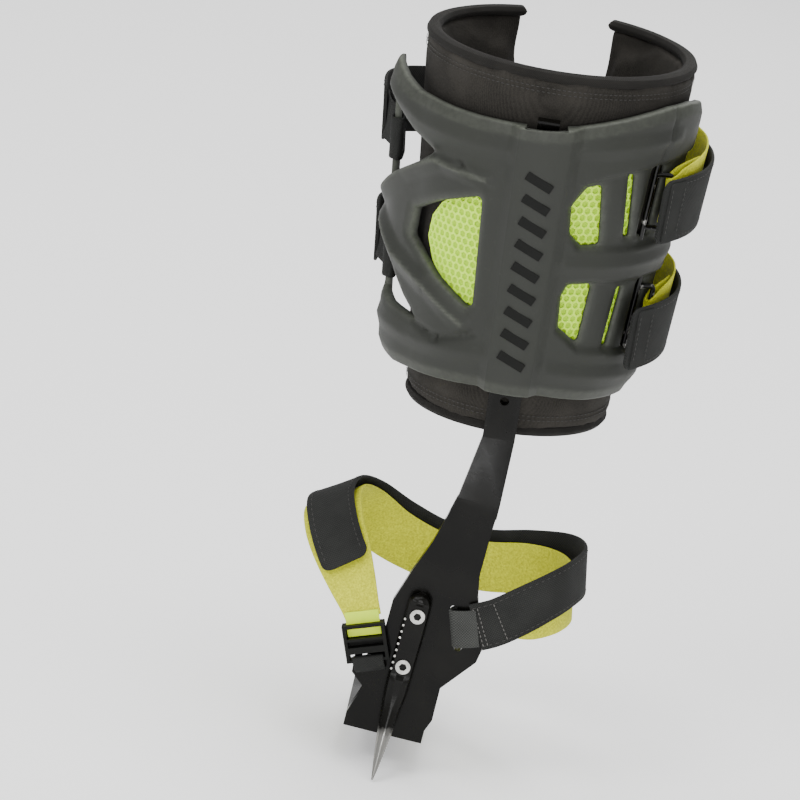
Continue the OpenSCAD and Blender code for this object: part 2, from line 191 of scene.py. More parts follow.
def row_at(rows, distance):
    """Row of a strip at a distance from its start."""
    for a, b in zip(rows, rows[1:]):
        if b[4] >= distance:
            t = (distance - a[4]) / max(b[4] - a[4], 1e-9)
            mixed = [a[i].lerp(b[i], t) for i in range(4)]
            return (mixed[0], *[v.normalized() for v in mixed[1:]], distance,
                    a[5] + (b[5] - a[5]) * t)
    return rows[-1]


def round_ends(rows, radius, ends=(True, True)):
    """Round the corners of a strip's ends."""
    length = rows[-1][4]
    turns = [math.radians(a) for a in (0, 18, 36, 54, 72, 90)]
    kept = [r for r in rows
            if (r[4] > radius or not ends[0]) and (r[4] < length - radius or not ends[1])]
    first = []
    last = []
    for a in turns:
        inset = radius * (1 - math.sin(a))
        if ends[0]:
            row = row_at(rows, radius * (1 - math.cos(a)))
            first.append((*row[:5], row[5] - 2 * inset))
        if ends[1]:
            row = row_at(rows, length - radius * (1 - math.cos(a)))
            last.append((*row[:5], row[5] - 2 * inset))
    return first + kept + last[::-1]


def strip_outline(width, thick, cells=6):
    """Outline of a strip's cut end, with rounded edges, as distances up and out."""
    r = 0.45 * min(thick, width)
    half = width / 2 - r
    turn = [math.radians(a) for a in (-90, -45, 0, 45, 90)]
    right = [(half + r * math.cos(a), thick / 2 * (1 + math.sin(a))) for a in turn]
    left = [(-x, y) for x, y in right[::-1]]
    steps = [half * (1 - 2 * k / cells) for k in range(1, cells)]
    return right + [(x, thick) for x in steps] + left + [(-x, 0) for x in steps]


def add_strip(bm, rows, thick, off=0.0, edge_ribs=0.0):
    """Sweep a strip with rounded edges along its rows; each point knows its place on it.

    The thickness is one number, or one for each row.
    """
    along_layer = bm.verts.layers.float.get("along") or bm.verts.layers.float.new("along")
    across_layer = bm.verts.layers.float.get("across") or bm.verts.layers.float.new("across")
    count = len(strip_outline(10, 1))
    grid = bmesh.ops.create_grid(bm, x_segments=len(rows) - 1, y_segments=count, size=1)
    verts = grid["verts"]
    thicks = thick if isinstance(thick, list) else [thick] * len(rows)
    outlines = [strip_outline(row[5], t) for row, t in zip(rows, thicks)]
    for v in verts:
        i = round((v.co.x + 1) / 2 * (len(rows) - 1))
        j = round((v.co.y + 1) / 2 * count) % count
        point, along, up, out, distance, width = rows[i]
        side, height = outlines[i][j]
        rib = edge_ribs * math.exp(-(((width / 2 - abs(side)) - 3.0) / 1.2) ** 2)
        lift = rib if height > thicks[i] / 2 else -rib
        v.co = point + up * side + out * (off + height + lift)
        v[along_layer] = distance
        v[across_layer] = side
    bmesh.ops.remove_doubles(bm, verts=verts, dist=1e-5)
    live = [v for v in verts if v.is_valid]
    rims = list({e for v in live for e in v.link_edges if e.is_boundary})
    bmesh.ops.holes_fill(bm, edges=rims, sides=0)
    faces = list({f for v in live for f in v.link_faces})
    bmesh.ops.recalc_face_normals(bm, faces=faces)
    return live


def add_stitches(bm, rows, side, out, pitch=3.3, length=2.3, girth=0.6, trim=2.0):
    """Sew a row of stitches along a strip, at a distance to one side of its middle."""
    distance = trim
    while distance < rows[-1][4] - trim:
        point, along, up, normal, _, _ = row_at(rows, distance)
        turn = Matrix((along, up, normal)).transposed().to_4x4()
        place = Matrix.Translation(point + up * side + normal * out) @ turn
        size = Matrix.Diagonal((length / 2, girth / 2, girth / 2.4, 1))
        bmesh.ops.create_uvsphere(bm, u_segments=6, v_segments=4, radius=1, matrix=place @ size)
        distance += pitch


def add_stitch_line(bm, start, end, normal, pitch=3.0, length=2.2, girth=0.6):
    """Sew a straight row of stitches between two points."""
    start, end = Vector(start), Vector(end)
    across = Vector(normal).cross(end - start).normalized()
    rows = strip_rows([start, end], [across, across], [1, 1])
    flip = 1 if rows[0][3].dot(Vector(normal)) > 0 else -1
    add_stitches(bm, rows, 0, 0.1 * flip, pitch, length, girth, trim=1.0)


def add_block(bm, lo, hi, matrix=Matrix.Identity(4), bevel=0.0, segments=3):
    """Rectangular block with rounded edges."""
    lo, hi = Vector(lo), Vector(hi)
    size = Matrix.Diagonal((*(hi - lo), 1))
    made = bmesh.ops.create_cube(bm, size=1, matrix=Matrix.Translation((lo + hi) / 2) @ size)
    verts = made["verts"]
    if bevel:
        edges = list({e for v in verts for e in v.link_edges})
        made = bmesh.ops.bevel(bm, geom=edges, offset=bevel, segments=segments, profile=0.5,
                               affect="EDGES", material=-1)
        verts = list({v for f in made["faces"] for v in f.verts})
        verts += [v for f in {f for v in verts for f in v.link_faces} for v in f.verts]
    bmesh.ops.transform(bm, matrix=matrix, verts=list(set(verts)))


def finish(bm, name, material, body, slot, *nodes, crease=40):
    """Turn a mesh into a finished piece in metres that rides on a body."""
    bmesh.ops.scale(bm, vec=(MM, MM, MM), verts=bm.verts)
    along = bm.verts.layers.float.get("along")
    across = bm.verts.layers.float.get("across")
    if along and across:
        uv = bm.loops.layers.uv.new("strip")
        for face in bm.faces:
            for loop in face.loops:
                loop[uv].uv = (loop.vert[along] * MM, loop.vert[across] * MM)
    mesh = bpy.data.meshes.new(name)
    bm.to_mesh(mesh)
    bm.free()
    mesh.shade_smooth()
    mesh.set_sharp_from_angle(angle=math.radians(crease))
    mesh.materials.append(material)
    piece = bpy.data.objects.new(name, mesh)
    bpy.context.scene.collection.objects.link(piece)
    if body:
        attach(piece, body)
    if nodes:
        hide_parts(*nodes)
    return piece


def finish_bending(bm, name, material, slot, bodies, hinge, *nodes):
    """Finished piece with its placing baked into its mesh."""
    piece = finish(bm, name, material, None, slot)
    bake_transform(piece)
    if nodes:
        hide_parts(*nodes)


def machined(node, name, material, body, slot, width=0.6, segments=3):
    """Copy of a made part with its facets joined and its edges rounded."""
    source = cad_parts[node]
    bm = bmesh.new()
    bm.from_mesh(source.data)
    bmesh.ops.remove_doubles(bm, verts=bm.verts, dist=1e-6)
    bmesh.ops.dissolve_limit(bm, angle_limit=math.radians(1.0), verts=bm.verts, edges=bm.edges)
    bmesh.ops.scale(bm, vec=(1 / MM, 1 / MM, 1 / MM), verts=bm.verts)
    piece = finish(bm, name, material, body, slot, node, crease=30)
    rounding = piece.modifiers.new("Rounded edges", "BEVEL")
    rounding.width = width * MM
    rounding.segments = segments
    rounding.limit_method = "ANGLE"
    rounding.angle_limit = math.radians(30)
    rounding.harden_normals = False
    return piece


# ---------------------------------------------------------------- finishes


def add_node(tree, kind, inputs=(), **settings):
    """Shader node with its settings and inputs; an input is a value or another socket."""
    node = tree.nodes.new(kind)
    for key, value in settings.items():
        setattr(node, key, value)
    for socket, source in dict(inputs).items():
        if isinstance(source, bpy.types.NodeSocket):
            tree.links.new(source, node.inputs[socket])
        else:
            node.inputs[socket].default_value = source
    return node


def start_finish(name, roughness, metallic=0.0, specular=0.3):
    material = bpy.data.materials.new(name)
    material.use_nodes = True
    shader = material.node_tree.nodes["Principled BSDF"]
    shader.inputs["Roughness"].default_value = roughness
    shader.inputs["Metallic"].default_value = metallic
    shader.inputs["Specular IOR Level"].default_value = specular
    return material, material.node_tree, shader


def noise(tree, scale, detail=3.0, coordinates=None, roughness=0.5):
    place = coordinates or add_node(tree, "ShaderNodeTexCoord").outputs["Object"]
    made = add_node(tree, "ShaderNodeTexNoise", {
        "Vector": place, "Scale": scale, "Detail": detail, "Roughness": roughness})
    return made.outputs["Fac"]


def calculate(tree, operation, a, b=0.0):
    return add_node(tree, "ShaderNodeMath", {0: a, 1: b}, operation=operation).outputs[0]


def ramp(tree, value, low, high, start=0.0, end=1.0):
    """Map a value from low..high to start..end, held at both ends."""
    made = add_node(tree, "ShaderNodeMapRange", {
        "Value": value, "From Min": low, "From Max": high, "To Min": start, "To Max": end})
    return made.outputs["Result"]


def blend_colours(tree, factor, a, b):
    made = add_node(tree, "ShaderNodeMix", data_type="RGBA")
    for socket, source in ((0, factor), (6, a), (7, b)):
        if isinstance(source, bpy.types.NodeSocket):
            tree.links.new(source, made.inputs[socket])
        elif socket:
            made.inputs[socket].default_value = (*source, 1)
        else:
            made.inputs[socket].default_value = source
    return made.outputs[2]


def scaled(rgb, factor):
    return tuple(min(c * factor, 1.0) for c in rgb)


def raise_surface(tree, shader, height, distance, strength=1.0):
    bump = add_node(tree, "ShaderNodeBump", {
        "Height": height, "Distance": distance, "Strength": strength})
    tree.links.new(bump.outputs["Normal"], shader.inputs["Normal"])


def strip_place(tree):
    """Place along and across a strip, in metres."""
    uv = add_node(tree, "ShaderNodeUVMap", uv_map="strip").outputs["UV"]
    parts = add_node(tree, "ShaderNodeSeparateXYZ", {"Vector": uv})
    return uv, parts.outputs["X"], parts.outputs["Y"]


def waves(tree, place, pitch, phase=0.0):
    turn = calculate(tree, "MULTIPLY", place, 2 * math.pi / pitch)
    return calculate(tree, "SINE", calculate(tree, "ADD", turn, phase))


def woven(name, rgb, pitch=0.0016, roughness=0.82, sheen=0.01, contrast=0.5):
    """Woven webbing: ribs across the strip with crossing yarns."""
    material, tree, shader = start_finish(name, roughness, specular=0.12)
    uv, along, across = strip_place(tree)
    warp = waves(tree, across, pitch)
    weft = waves(tree, along, pitch * 0.9)
    cloth = calculate(tree, "MULTIPLY", warp, weft)
    grain = noise(tree, 2500, 2, uv)
    height = calculate(tree, "ADD", calculate(tree, "MULTIPLY", cloth, 0.5), grain)
    shade = ramp(tree, height, 0.1, 1.0)
    wear = ramp(tree, noise(tree, 60, 4), 0.35, 0.75, 0.0, 0.35)
    base = blend_colours(tree, shade, scaled(rgb, 1 - contrast), scaled(rgb, 1 + contrast))
    worn = blend_colours(tree, wear, base, scaled(rgb, 2.0))
    tree.links.new(worn, shader.inputs["Base Color"])
    shader.inputs["Sheen Weight"].default_value = sheen
    shader.inputs["Sheen Roughness"].default_value = 0.6
    raise_surface(tree, shader, height, 0.0003, 0.7)
    return material


def fleece_finish(name, rgb):
    """Brushed loop fabric with a soft nap."""
    material, tree, shader = start_finish(name, 0.95, specular=0.1)
    tufts = noise(tree, 900, 4)
    fine = noise(tree, 3200, 2)
    patches = noise(tree, 90, 3)
    height = calculate(tree, "ADD", tufts, calculate(tree, "MULTIPLY", fine, 0.5))
    shade = ramp(tree, height, 0.45, 1.0)
    base = blend_colours(tree, shade, scaled(rgb, 0.55), scaled(rgb, 1.15))
    worn = blend_colours(tree, ramp(tree, patches, 0.45, 0.7, 0, 0.35), base, scaled(rgb, 0.7))
    tree.links.new(worn, shader.inputs["Base Color"])
    shader.inputs["Sheen Weight"].default_value = 0.08
    raise_surface(tree, shader, height, 0.0008, 0.8)
    return material


def painted_steel(name, rgb, metal, bare_below=None):
    """Gloss black coat, with bare ground steel below a height where one is given."""
    material, tree, shader = start_finish(name, 0.2, specular=0.14)
    peel = noise(tree, 700, 2)
    smear = noise(tree, 45, 5)
    coat = blend_colours(tree, ramp(tree, smear, 0.4, 0.8), rgb, scaled(rgb, 2.6))
    rough = ramp(tree, smear, 0.3, 0.75, 0.16, 0.42)
    if bare_below is None:
        chips = ramp(tree, noise(tree, 420, 5, roughness=0.7), 0.70, 0.74)
        bare = calculate(tree, "MULTIPLY", chips, ramp(tree, smear, 0.5, 0.62))
    else:
        place = add_node(tree, "ShaderNodeTexCoord").outputs["Object"]
        z = add_node(tree, "ShaderNodeSeparateXYZ", {"Vector": place}).outputs["Z"]
        waver = calculate(tree, "MULTIPLY", noise(tree, 220, 3), 0.006)
        edge = calculate(tree, "ADD", z, waver)
        bare = ramp(tree, edge, bare_below + 0.006, bare_below)
    base = blend_colours(tree, bare, coat, scaled(metal, 0.4))
    tree.links.new(base, shader.inputs["Base Color"])
    tree.links.new(bare, shader.inputs["Metallic"])
    tree.links.new(calculate(tree, "MAXIMUM", rough, calculate(tree, "MULTIPLY", bare, 0.38)),
                   shader.inputs["Roughness"])
    raise_surface(tree, shader, peel, 0.00008, 0.4)
    return material


def brushed_steel(name, rgb):
    material, tree, shader = start_finish(name, 0.34, 1.0, 0.5)
    smear = noise(tree, 160, 4)
    base = blend_colours(tree, ramp(tree, smear, 0.35, 0.7), scaled(rgb, 0.7), scaled(rgb, 1.15))
    tree.links.new(base, shader.inputs["Base Color"])
    roughness = ramp(tree, noise(tree, 90, 3), 0.3, 0.7, 0.26, 0.46)
    tree.links.new(roughness, shader.inputs["Roughness"])
    raise_surface(tree, shader, noise(tree, 1800, 2), 0.00005, 0.4)
    return material


def worn_rod(name, rgb, metal):
    """Black rod rubbed bright in streaks."""
    material, tree, shader = start_finish(name, 0.3)
    rub = ramp(tree, noise(tree, 260, 3), 0.60, 0.72, 0.0, 0.8)
    base = blend_colours(tree, rub, rgb, metal)
    tree.links.new(base, shader.inputs["Base Color"])
    tree.links.new(rub, shader.inputs["Metallic"])
    raise_surface(tree, shader, noise(tree, 900, 2), 0.00006, 0.5)
    return material


def moulded(name, rgb, edge_light=1.0, roughness=0.56, specular=0.3):
    """Matt moulded plastic with a fine spark texture and paler edges: wear from rubbing and
    painted highlight.
    """
    material, tree, shader = start_finish(name, roughness, specular=specular)
    grain = noise(tree, 2600, 2)
    cloud = noise(tree, 28, 4)
    streak = noise(tree, 260, 5, roughness=0.65)
    base = blend_colours(tree, ramp(tree, cloud, 0.3, 0.7), scaled(rgb, 0.85), scaled(rgb, 1.2))
    scuffs = ramp(tree, streak, 0.62, 0.74, 0.0, 0.35)
    scuffed = blend_colours(tree, scuffs, base, scaled(rgb, 2.0))
    # Paler edges, crests and outer chamfer from the mesh's attribute: wear from rubbing and
    # painted highlight.
    edge = add_node(tree, "ShaderNodeAttribute", attribute_name="rub_and_highlight").outputs["Fac"]
    worn = calculate(tree, "MULTIPLY", edge, ramp(tree, streak, 0.3, 0.6, 0.45, 1.0))
    final = blend_colours(tree, calculate(tree, "MULTIPLY", worn, edge_light), scuffed,
                          scaled(rgb, 4.4))
    tree.links.new(final, shader.inputs["Base Color"])
    tree.links.new(ramp(tree, cloud, 0.3, 0.7, roughness - 0.06, roughness + 0.1),
                   shader.inputs["Roughness"])
    raise_surface(tree, shader, grain, 0.00012, 0.5)
    return material


def knit_finish(name, rgb, scale=1400.0):
    """Knit face fabric laminated to foam."""
    material, tree, shader = start_finish(name, 0.9, specular=0.12)
    stitches = add_node(tree, "ShaderNodeTexVoronoi", {
        "Vector": add_node(tree, "ShaderNodeTexCoord").outputs["Object"], "Scale": scale,
        "Randomness": 0.35}).outputs["Distance"]
    patches = noise(tree, 35, 4)
    shade = ramp(tree, stitches, 0.0, 0.7)
    base = blend_colours(tree, shade, scaled(rgb, 1.5), scaled(rgb, 0.5))
    worn = blend_colours(tree, ramp(tree, patches, 0.4, 0.75, 0, 0.5), base, scaled(rgb, 2.0))
    tree.links.new(worn, shader.inputs["Base Color"])
    shader.inputs["Sheen Weight"].default_value = 0.01
    raise_surface(tree, shader, calculate(tree, "MULTIPLY", stitches, -1.0), 0.0004, 0.6)
    return material


def mesh_finish(name, rgb):
    """Lime spacer mesh; the hollow of each cell is painted darker as painted shade."""
    material, tree, shader = start_finish(name, 0.8)
    well_shade = add_node(tree, "ShaderNodeAttribute", attribute_name="well_shade").outputs["Fac"]
    paler = tuple(min(c * 1.1 + 0.07, 1.0) for c in rgb)
    yarn = noise(tree, 3000, 3)
    face = blend_colours(tree, ramp(tree, yarn, 0.3, 0.7), rgb, paler)
    # Painted shade: the cell hollows take 0.72 of the face colour.
    pit = blend_colours(tree, well_shade, face, scaled(rgb, 0.72))
    tree.links.new(pit, shader.inputs["Base Color"])
    raise_surface(tree, shader, yarn, 0.0002, 0.6)
    return material


def thread_finish(name, rgb):
    material, tree, shader = start_finish(name, 0.6)
    twist = noise(tree, 4000, 2)
    base = blend_colours(tree, twist, scaled(rgb, 0.7), scaled(rgb, 1.4))
    tree.links.new(base, shader.inputs["Base Color"])
    raise_surface(tree, shader, twist, 0.0001, 0.5)
    return material


def floor_finish():
    material, tree, shader = start_finish("studio_floor", 0.9)
    base = blend_colours(tree, noise(tree, 3, 2), (0.90, 0.90, 0.90), (0.92, 0.92, 0.92))
    tree.links.new(base, shader.inputs["Base Color"])
    shader.inputs["Emission Color"].default_value = (1, 1, 1, 1)
    shader.inputs["Emission Strength"].default_value = 0.3
    return material


FINISHES = {
    "black_steel": lambda n, c: painted_steel(n, c.steel_paint, c.bare_steel),
    "gaff_steel": lambda n, c: painted_steel(n, c.steel_paint, c.bare_steel, 0.002),
    "bright_steel": lambda n, c: brushed_steel(n, c.bare_steel),
    "ring_steel": lambda n, c: worn_rod(n, c.steel_paint, c.bare_steel),
    "black_webbing": lambda n, c: woven(n, c.webbing),
    "yellow_webbing": lambda n, c: woven(n, c.tab, 0.0012, 0.7, 0.1, 0.2),
    "binding_tape": lambda n, c: woven(n, c.binding, 0.0011),
    "lime_fleece": lambda n, c: fleece_finish(n, c.fleece),
    "grey_webbing": lambda n, c: woven(n, scaled(c.webbing, 2.4)),
    "hook_tape": lambda n, c: knit_finish(n, c.webbing, 900.0),
    "pad_fabric": lambda n, c: knit_finish(n, c.pad),
    "lime_mesh": lambda n, c: mesh_finish(n, c.mesh),
    "shell_plastic": lambda n, c: moulded(n, c.plastic),
    "black_plastic": lambda n, c: moulded(n, scaled(c.plastic, 0.2), 0.5, 0.4, 0.12),
    "thread": lambda n, c: thread_finish(n, c.thread),
    "grey_thread": lambda n, c: thread_finish(n, scaled(c.thread, 3.0)),
}


def coat(name):
    """The named finish, made once."""
    full = name + "_finish"
    if full not in bpy.data.materials:
        FINISHES[name](full, bpy.context.scene.spur_colours)
    return bpy.data.materials[full]


# ---------------------------------------------------------------- steel


class SPUR_OT_shank(bpy.types.Operator):
    """Steel bar, side plate and tread, with rolled edges"""

    bl_idname = "spur.shank"
    bl_label = "Shank"

    def execute(self, context):
        machined("shank", "shank_bar", coat("black_steel"), "spur_iron", "black_steel", 0.8)
        return {"FINISHED"}


class SPUR_OT_gaff(bpy.types.Operator):
    """Bolt-on gaff and its two socket screws"""

    bl_idname = "spur.gaff"
    bl_label = "Gaff"

    def execute(self, context):
        self.spike()
        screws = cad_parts["gaff_screws"]
        bm = bmesh.new()
        bm.from_mesh(screws.data)
        bmesh.ops.remove_doubles(bm, verts=bm.verts, dist=1e-6)
        bmesh.ops.scale(bm, vec=(1 / MM, 1 / MM, 1 / MM), verts=bm.verts)
        piece = finish(bm, "gaff_screw_set", coat("bright_steel"), "spur_iron", "bright_steel",
                       "gaff_screws", crease=30)
        rounding = piece.modifiers.new("Rounded edges", "BEVEL")
        rounding.width = 0.3 * MM
        rounding.segments = 2
        rounding.limit_method = "ANGLE"
        rounding.angle_limit = math.radians(40)
        return {"FINISHED"}

    def spike(self):
        """Forged spike: rounded head, rubbed groove between the screws, tapering point"""
        # Middle across the foot, back face, height, width and thickness down the gaff
        stations = [
            (2.8, -50, 83, 4, 6.5), (2.8, -50, 82, 8.2, 8), (2.7, -50, 80, 11.4, 8.8),
            (2.6, -50, 77, 13.2, 9.2), (2.3, -50, 60, 13.6, 9.2), (1.9, -50, 44, 13.4, 9.2),
            (1.6, -50, 30, 13.2, 9.4), (1.4, -50, 20, 12.4, 10.4), (1.2, -51.5, 12, 11, 10.6),
            (1.0, -55.8, 3, 9.2, 9.2), (0.8, -61, -6, 7, 7), (0.7, -66.5, -14, 4.6, 4.6),
            (0.6, -71, -20.3, 2.4, 2.4), (0.5, -73.4, -24, 0.9, 0.9)]
        steps = 6
        path = smooth_path([(x, y, z) for x, y, z, _, _ in stations], steps)
        sizes = smooth_path([(w, t, 0) for _, _, _, w, t in stations], steps)
        rows = strip_rows(path, [Vector((1, 0, 0))] * len(path), [p.x for p in sizes])
        bm = bmesh.new()
        live = add_strip(bm, rows, [p.y for p in sizes])
        across = bm.verts.layers.float.get("across")
        for v in live:
            ends = min(v.co.z - 32, 79 - v.co.z)
            depth = min(max(ends / 2.0, 0), 1) * min(max((4.9 - abs(v[across])) / 1.2, 0), 1)
            if v.co.y < -55:
                v.co.y += 1.7 * depth
        finish(bm, "gaff_spike", coat("gaff_steel"), "spur_iron", "gaff_steel", "gaff",
               crease=28)
        bm = bmesh.new()
        for k in range(9):
            z = 38 + 3.8 * k
            middle = 1.6 + 0.7 * (z - 30) / 30
            add_block(bm, (middle - 6.6, -59.5, z - 0.7), (middle - 5.2, -58.7, z + 0.7),
                      bevel=0.3, segments=1)
        finish(bm, "gaff_worn_notches", coat("bright_steel"), "spur_iron", "gaff_steel", "gaff")


class SPUR_OT_height_lock(bpy.types.Operator):
    """Guide plate, rivets, lever, pin and spring of the height lock"""

    bl_idname = "spur.height_lock"
    bl_label = "Height lock"

    def execute(self, context):
        for node, body, finish_name, width in (
                ("guide_plate", "cuff", "bright_steel", 0.4),
                ("guide_rivets", "cuff", "bright_steel", 0.2),
                ("lock_lever", "height_lock", "black_steel", 0.3),
                ("lock_pin", "height_lock", "bright_steel", 0.3),
                ("lock_pivot_pin", "cuff", "bright_steel", 0.2),
                ("lock_spring", "cuff", "bright_steel", 0.1)):
            machined(node, node + "_made", coat(finish_name), body, finish_name, width, 2)
        return {"FINISHED"}


# ---------------------------------------------------------------- calf shell

DEG = math.pi / 180 * (SHELL_R + FLARE * 80)    # millimetres to a degree at mid height

# Outline of the flattened shell, as angle and height, from the front bar's foot round
SHELL_OUTLINE = [
    (-97, 0), (-87, -4), (-73, -6), (-44, -3), (-16, 0.5), (16, 0.5), (40, -2), (70, -2.5),
    (80, 2), (88, 12), (95, 22), (96, 60), (98, 80), (96, 100), (97, 138), (92, 158),
    (86, 166), (68, 170), (53, 170), (41, 167.3), (28, 163.5), (12, 158.5), (0, 156.2),
    (-14, 154.8), (-28, 154), (-43, 153.6), (-66, 153.5), (-78, 157), (-87, 162), (-97, 163),
]
WINDOWS = [
    [(-91.5, 144), (-78, 137), (-65, 130), (-48.5, 125.5), (-56, 118), (-75, 103), (-91.5, 90)],
    [(-62, 88), (-64.5, 72), (-52, 62.6), (-42, 55), (-24.5, 44.5), (-21.7, 47), (-23, 110),
     (-44, 99.5)],
    [(-91.5, 65), (-91.5, 31), (-80, 26.5), (-53.5, 25.5), (-66, 35), (-78, 48)],
    [(15.2, 113), (20.4, 124), (27, 126.5), (31.5, 91), (22.5, 90.2), (16.5, 97)],
    [(18, 60), (20.2, 67), (32, 68), (31, 32), (19.4, 41.6)],
    [(38.8, 132), (42.2, 132), (47, 95), (43.5, 95)],
    [(47, 65), (50.5, 65), (49, 30), (45.5, 30)],
    [(51.5, 135), (61, 135), (61, 95), (51.5, 95)],
    [(60.5, 67), (70, 67), (70, 27), (60.5, 27)],
]
# Raised ridges: both ends as angle and height, half width and height
RIDGES = [
    ((-97, 150), (-60, 139), 7, 1.8), ((-60, 139), (-14, 140), 7, 1.8),
    ((16, 147), (60, 152), 7, 1.8), ((-22, 120), (-47, 122), 6, 2.6),
    ((-47, 122), (-71, 106), 8, 4.0), ((-71, 106), (-92, 84), 8, 4.0),
    ((-92, 72), (-72, 56.5), 8, 4.0), ((-72, 56.5), (-49, 49), 8, 3.6),
    ((-49, 49), (-25, 35), 7, 2.8), ((-97, 16), (-60, 15), 7, 1.8), ((-60, 15), (-14, 20), 7, 1.8),
    ((16, 16), (90, 8), 7, 1.8), ((16, 79), (95, 80), 6.5, 1.8),
]
# Pressed grooves: both ends, half width and depth
GROOVES = [((-50, 125.5), (-34, 124.5), 3.0, 1.8), ((-34, 124.5), (-21, 117), 3.0, 1.8),
           ((-55, 25.5), (-38, 22), 3.0, 1.6), ((-38, 22), (-19, 31), 3.0, 1.6),
           ((53, 140), (57, 169), 2.0, 1.2)]
# Sunk panels round the rear windows and rings, as angle and height
PANELS = [
    [(13.5, 112), (17, 126), (26, 132), (45, 137), (66, 140), (98, 141), (98, 92), (66, 89),
     (45, 87.5), (20, 88), (15, 97)],
    [(15.5, 60), (18, 70), (32, 71), (60, 71), (98, 69), (98, 21), (66, 24), (45, 26.5), (29, 28),
     (17, 40)],
]
SWELL = 2.4
RIB_TOP = 12.5
RIB_FOOT = 18.0
RIB_HIGH = 7.0
RIB_EXTRA = 0.9
CHANNEL = 9.6
CHANNEL_DEEP = 5.0
CHANNEL_EXTRA = 1.7
LEVER_ROOM = (108, 138)     # heights over which the channel deepens for the lever


def lever_room(z):
    """Share of the extra room over the lever at a height."""
    return np.clip((z - LEVER_ROOM[0]) / (LEVER_ROOM[1] - LEVER_ROOM[0]), 0, 1)


def flat_points(outline):
    return [Vector((a * DEG, z, 0)) for a, z in outline]


def rounded_outline(points, radius, steps=5):
    """Round the corners of a closed outline with short arcs."""
    made = []
    n = len(points)
    for i, p in enumerate(points):
        a = points[i - 1] - p
        b = points[(i + 1) % n] - p
        turn = math.pi - a.angle(b)
        if turn < math.radians(12):
            made.append(p)
            continue
        reach = min(radius * math.tan(turn / 2), 0.42 * a.length, 0.42 * b.length)
        start, end = p + a.normalized() * reach, p + b.normalized() * reach
        for k in range(steps + 1):
            t = k / steps
            made.append(start * (1 - t) ** 2 + p * 2 * t * (1 - t) + end * t ** 2)
    return made


def distance_to_lines(points, lines):
    """Distance in the flat of each point to the nearest of the lines."""
    best = np.full(len(points), 1e9)
    for a, b in lines:
        a, b = np.array(a[:2]), np.array(b[:2])
        along = b - a
        t = np.clip(((points - a) @ along) / max(along @ along, 1e-9), 0, 1)
        best = np.minimum(best, np.linalg.norm(points - a - t[:, None] * along, axis=1))
    return best


def loop_lines(points):
    return [(points[i - 1], points[i]) for i in range(len(points))]


def inside_outline(points, outline):
    """Which of the points lie inside a closed outline."""
    inside = np.zeros(len(points), bool)
    for a, b in loop_lines(outline):
        spans = (a[1] > points[:, 1]) != (b[1] > points[:, 1])
        rise = b[1] - a[1] if abs(b[1] - a[1]) > 1e-9 else 1e-9
        cross = a[0] + (points[:, 1] - a[1]) * (b[0] - a[0]) / rise
        inside ^= spans & (points[:, 0] < cross)
    return inside


def ridge_profile(points, a, b, half):
    """One along the line from a to b, falling evenly to nothing at half its width."""
    line = [((a[0] * DEG, a[1]), (b[0] * DEG, b[1]))]
    return np.clip(1 - distance_to_lines(points, line) / half, 0, 1)


def crest_rub_and_highlight(points):
    """How pale each flat point is near a crest: wear from rubbing and painted highlight."""
    lines = [((a[0] * DEG, a[1]), (b[0] * DEG, b[1])) for a, b, _, high in RIDGES if high > 2]
    return 0.8 * np.exp(-(distance_to_lines(points, lines) / 1.2) ** 2)


def shell_relief(points, rim, windows, outer, edge):
    """Height of the shell's outer face over the plain cone at each flat point."""
    u, z = points[:, 0], points[:, 1]
    height = np.full(len(points), SWELL)
    height *= np.clip((u / DEG + 97) / 9, 0.3, 1)
    for panel in PANELS:
        outline = flat_points(panel)
        away = distance_to_lines(points, loop_lines(outline))
        away = np.where(inside_outline(points, outline), away, 0)
        height -= (SWELL + 0.2) * np.clip(away / 2.6, 0, 1)
    relief = np.zeros(len(points))
    for a, b, half, high in RIDGES:
        relief = np.maximum(relief, high * ridge_profile(points, a, b, half))
    for a, b, half, deep in GROOVES:
        relief -= deep * ridge_profile(points, a, b, half)
    height += relief
    # The surface falls towards the windows and the outer edge
    height -= 1.7 * np.clip(1 - windows / 4.0, 0, 1)
    height -= 2.4 * np.clip(1 - outer / 6.0, 0, 1)
    # The rib's top is flat across the bar and dies into the band at its top
    crown = RIB_HIGH - u ** 2 / (2 * (SHELL_R + FLARE * z)) - 0.5 * np.clip(1 - outer / 6, 0, 1)
    crown += RIB_EXTRA * lever_room(z)
    side = np.clip((RIB_FOOT - np.abs(u)) / (RIB_FOOT - RIB_TOP), 0, 1)
    height = height * (1 - side) + crown * side
    drop = np.clip(edge - rim, 0, edge)
    return height - (edge - np.sqrt(np.maximum(edge ** 2 - drop ** 2, 0)))


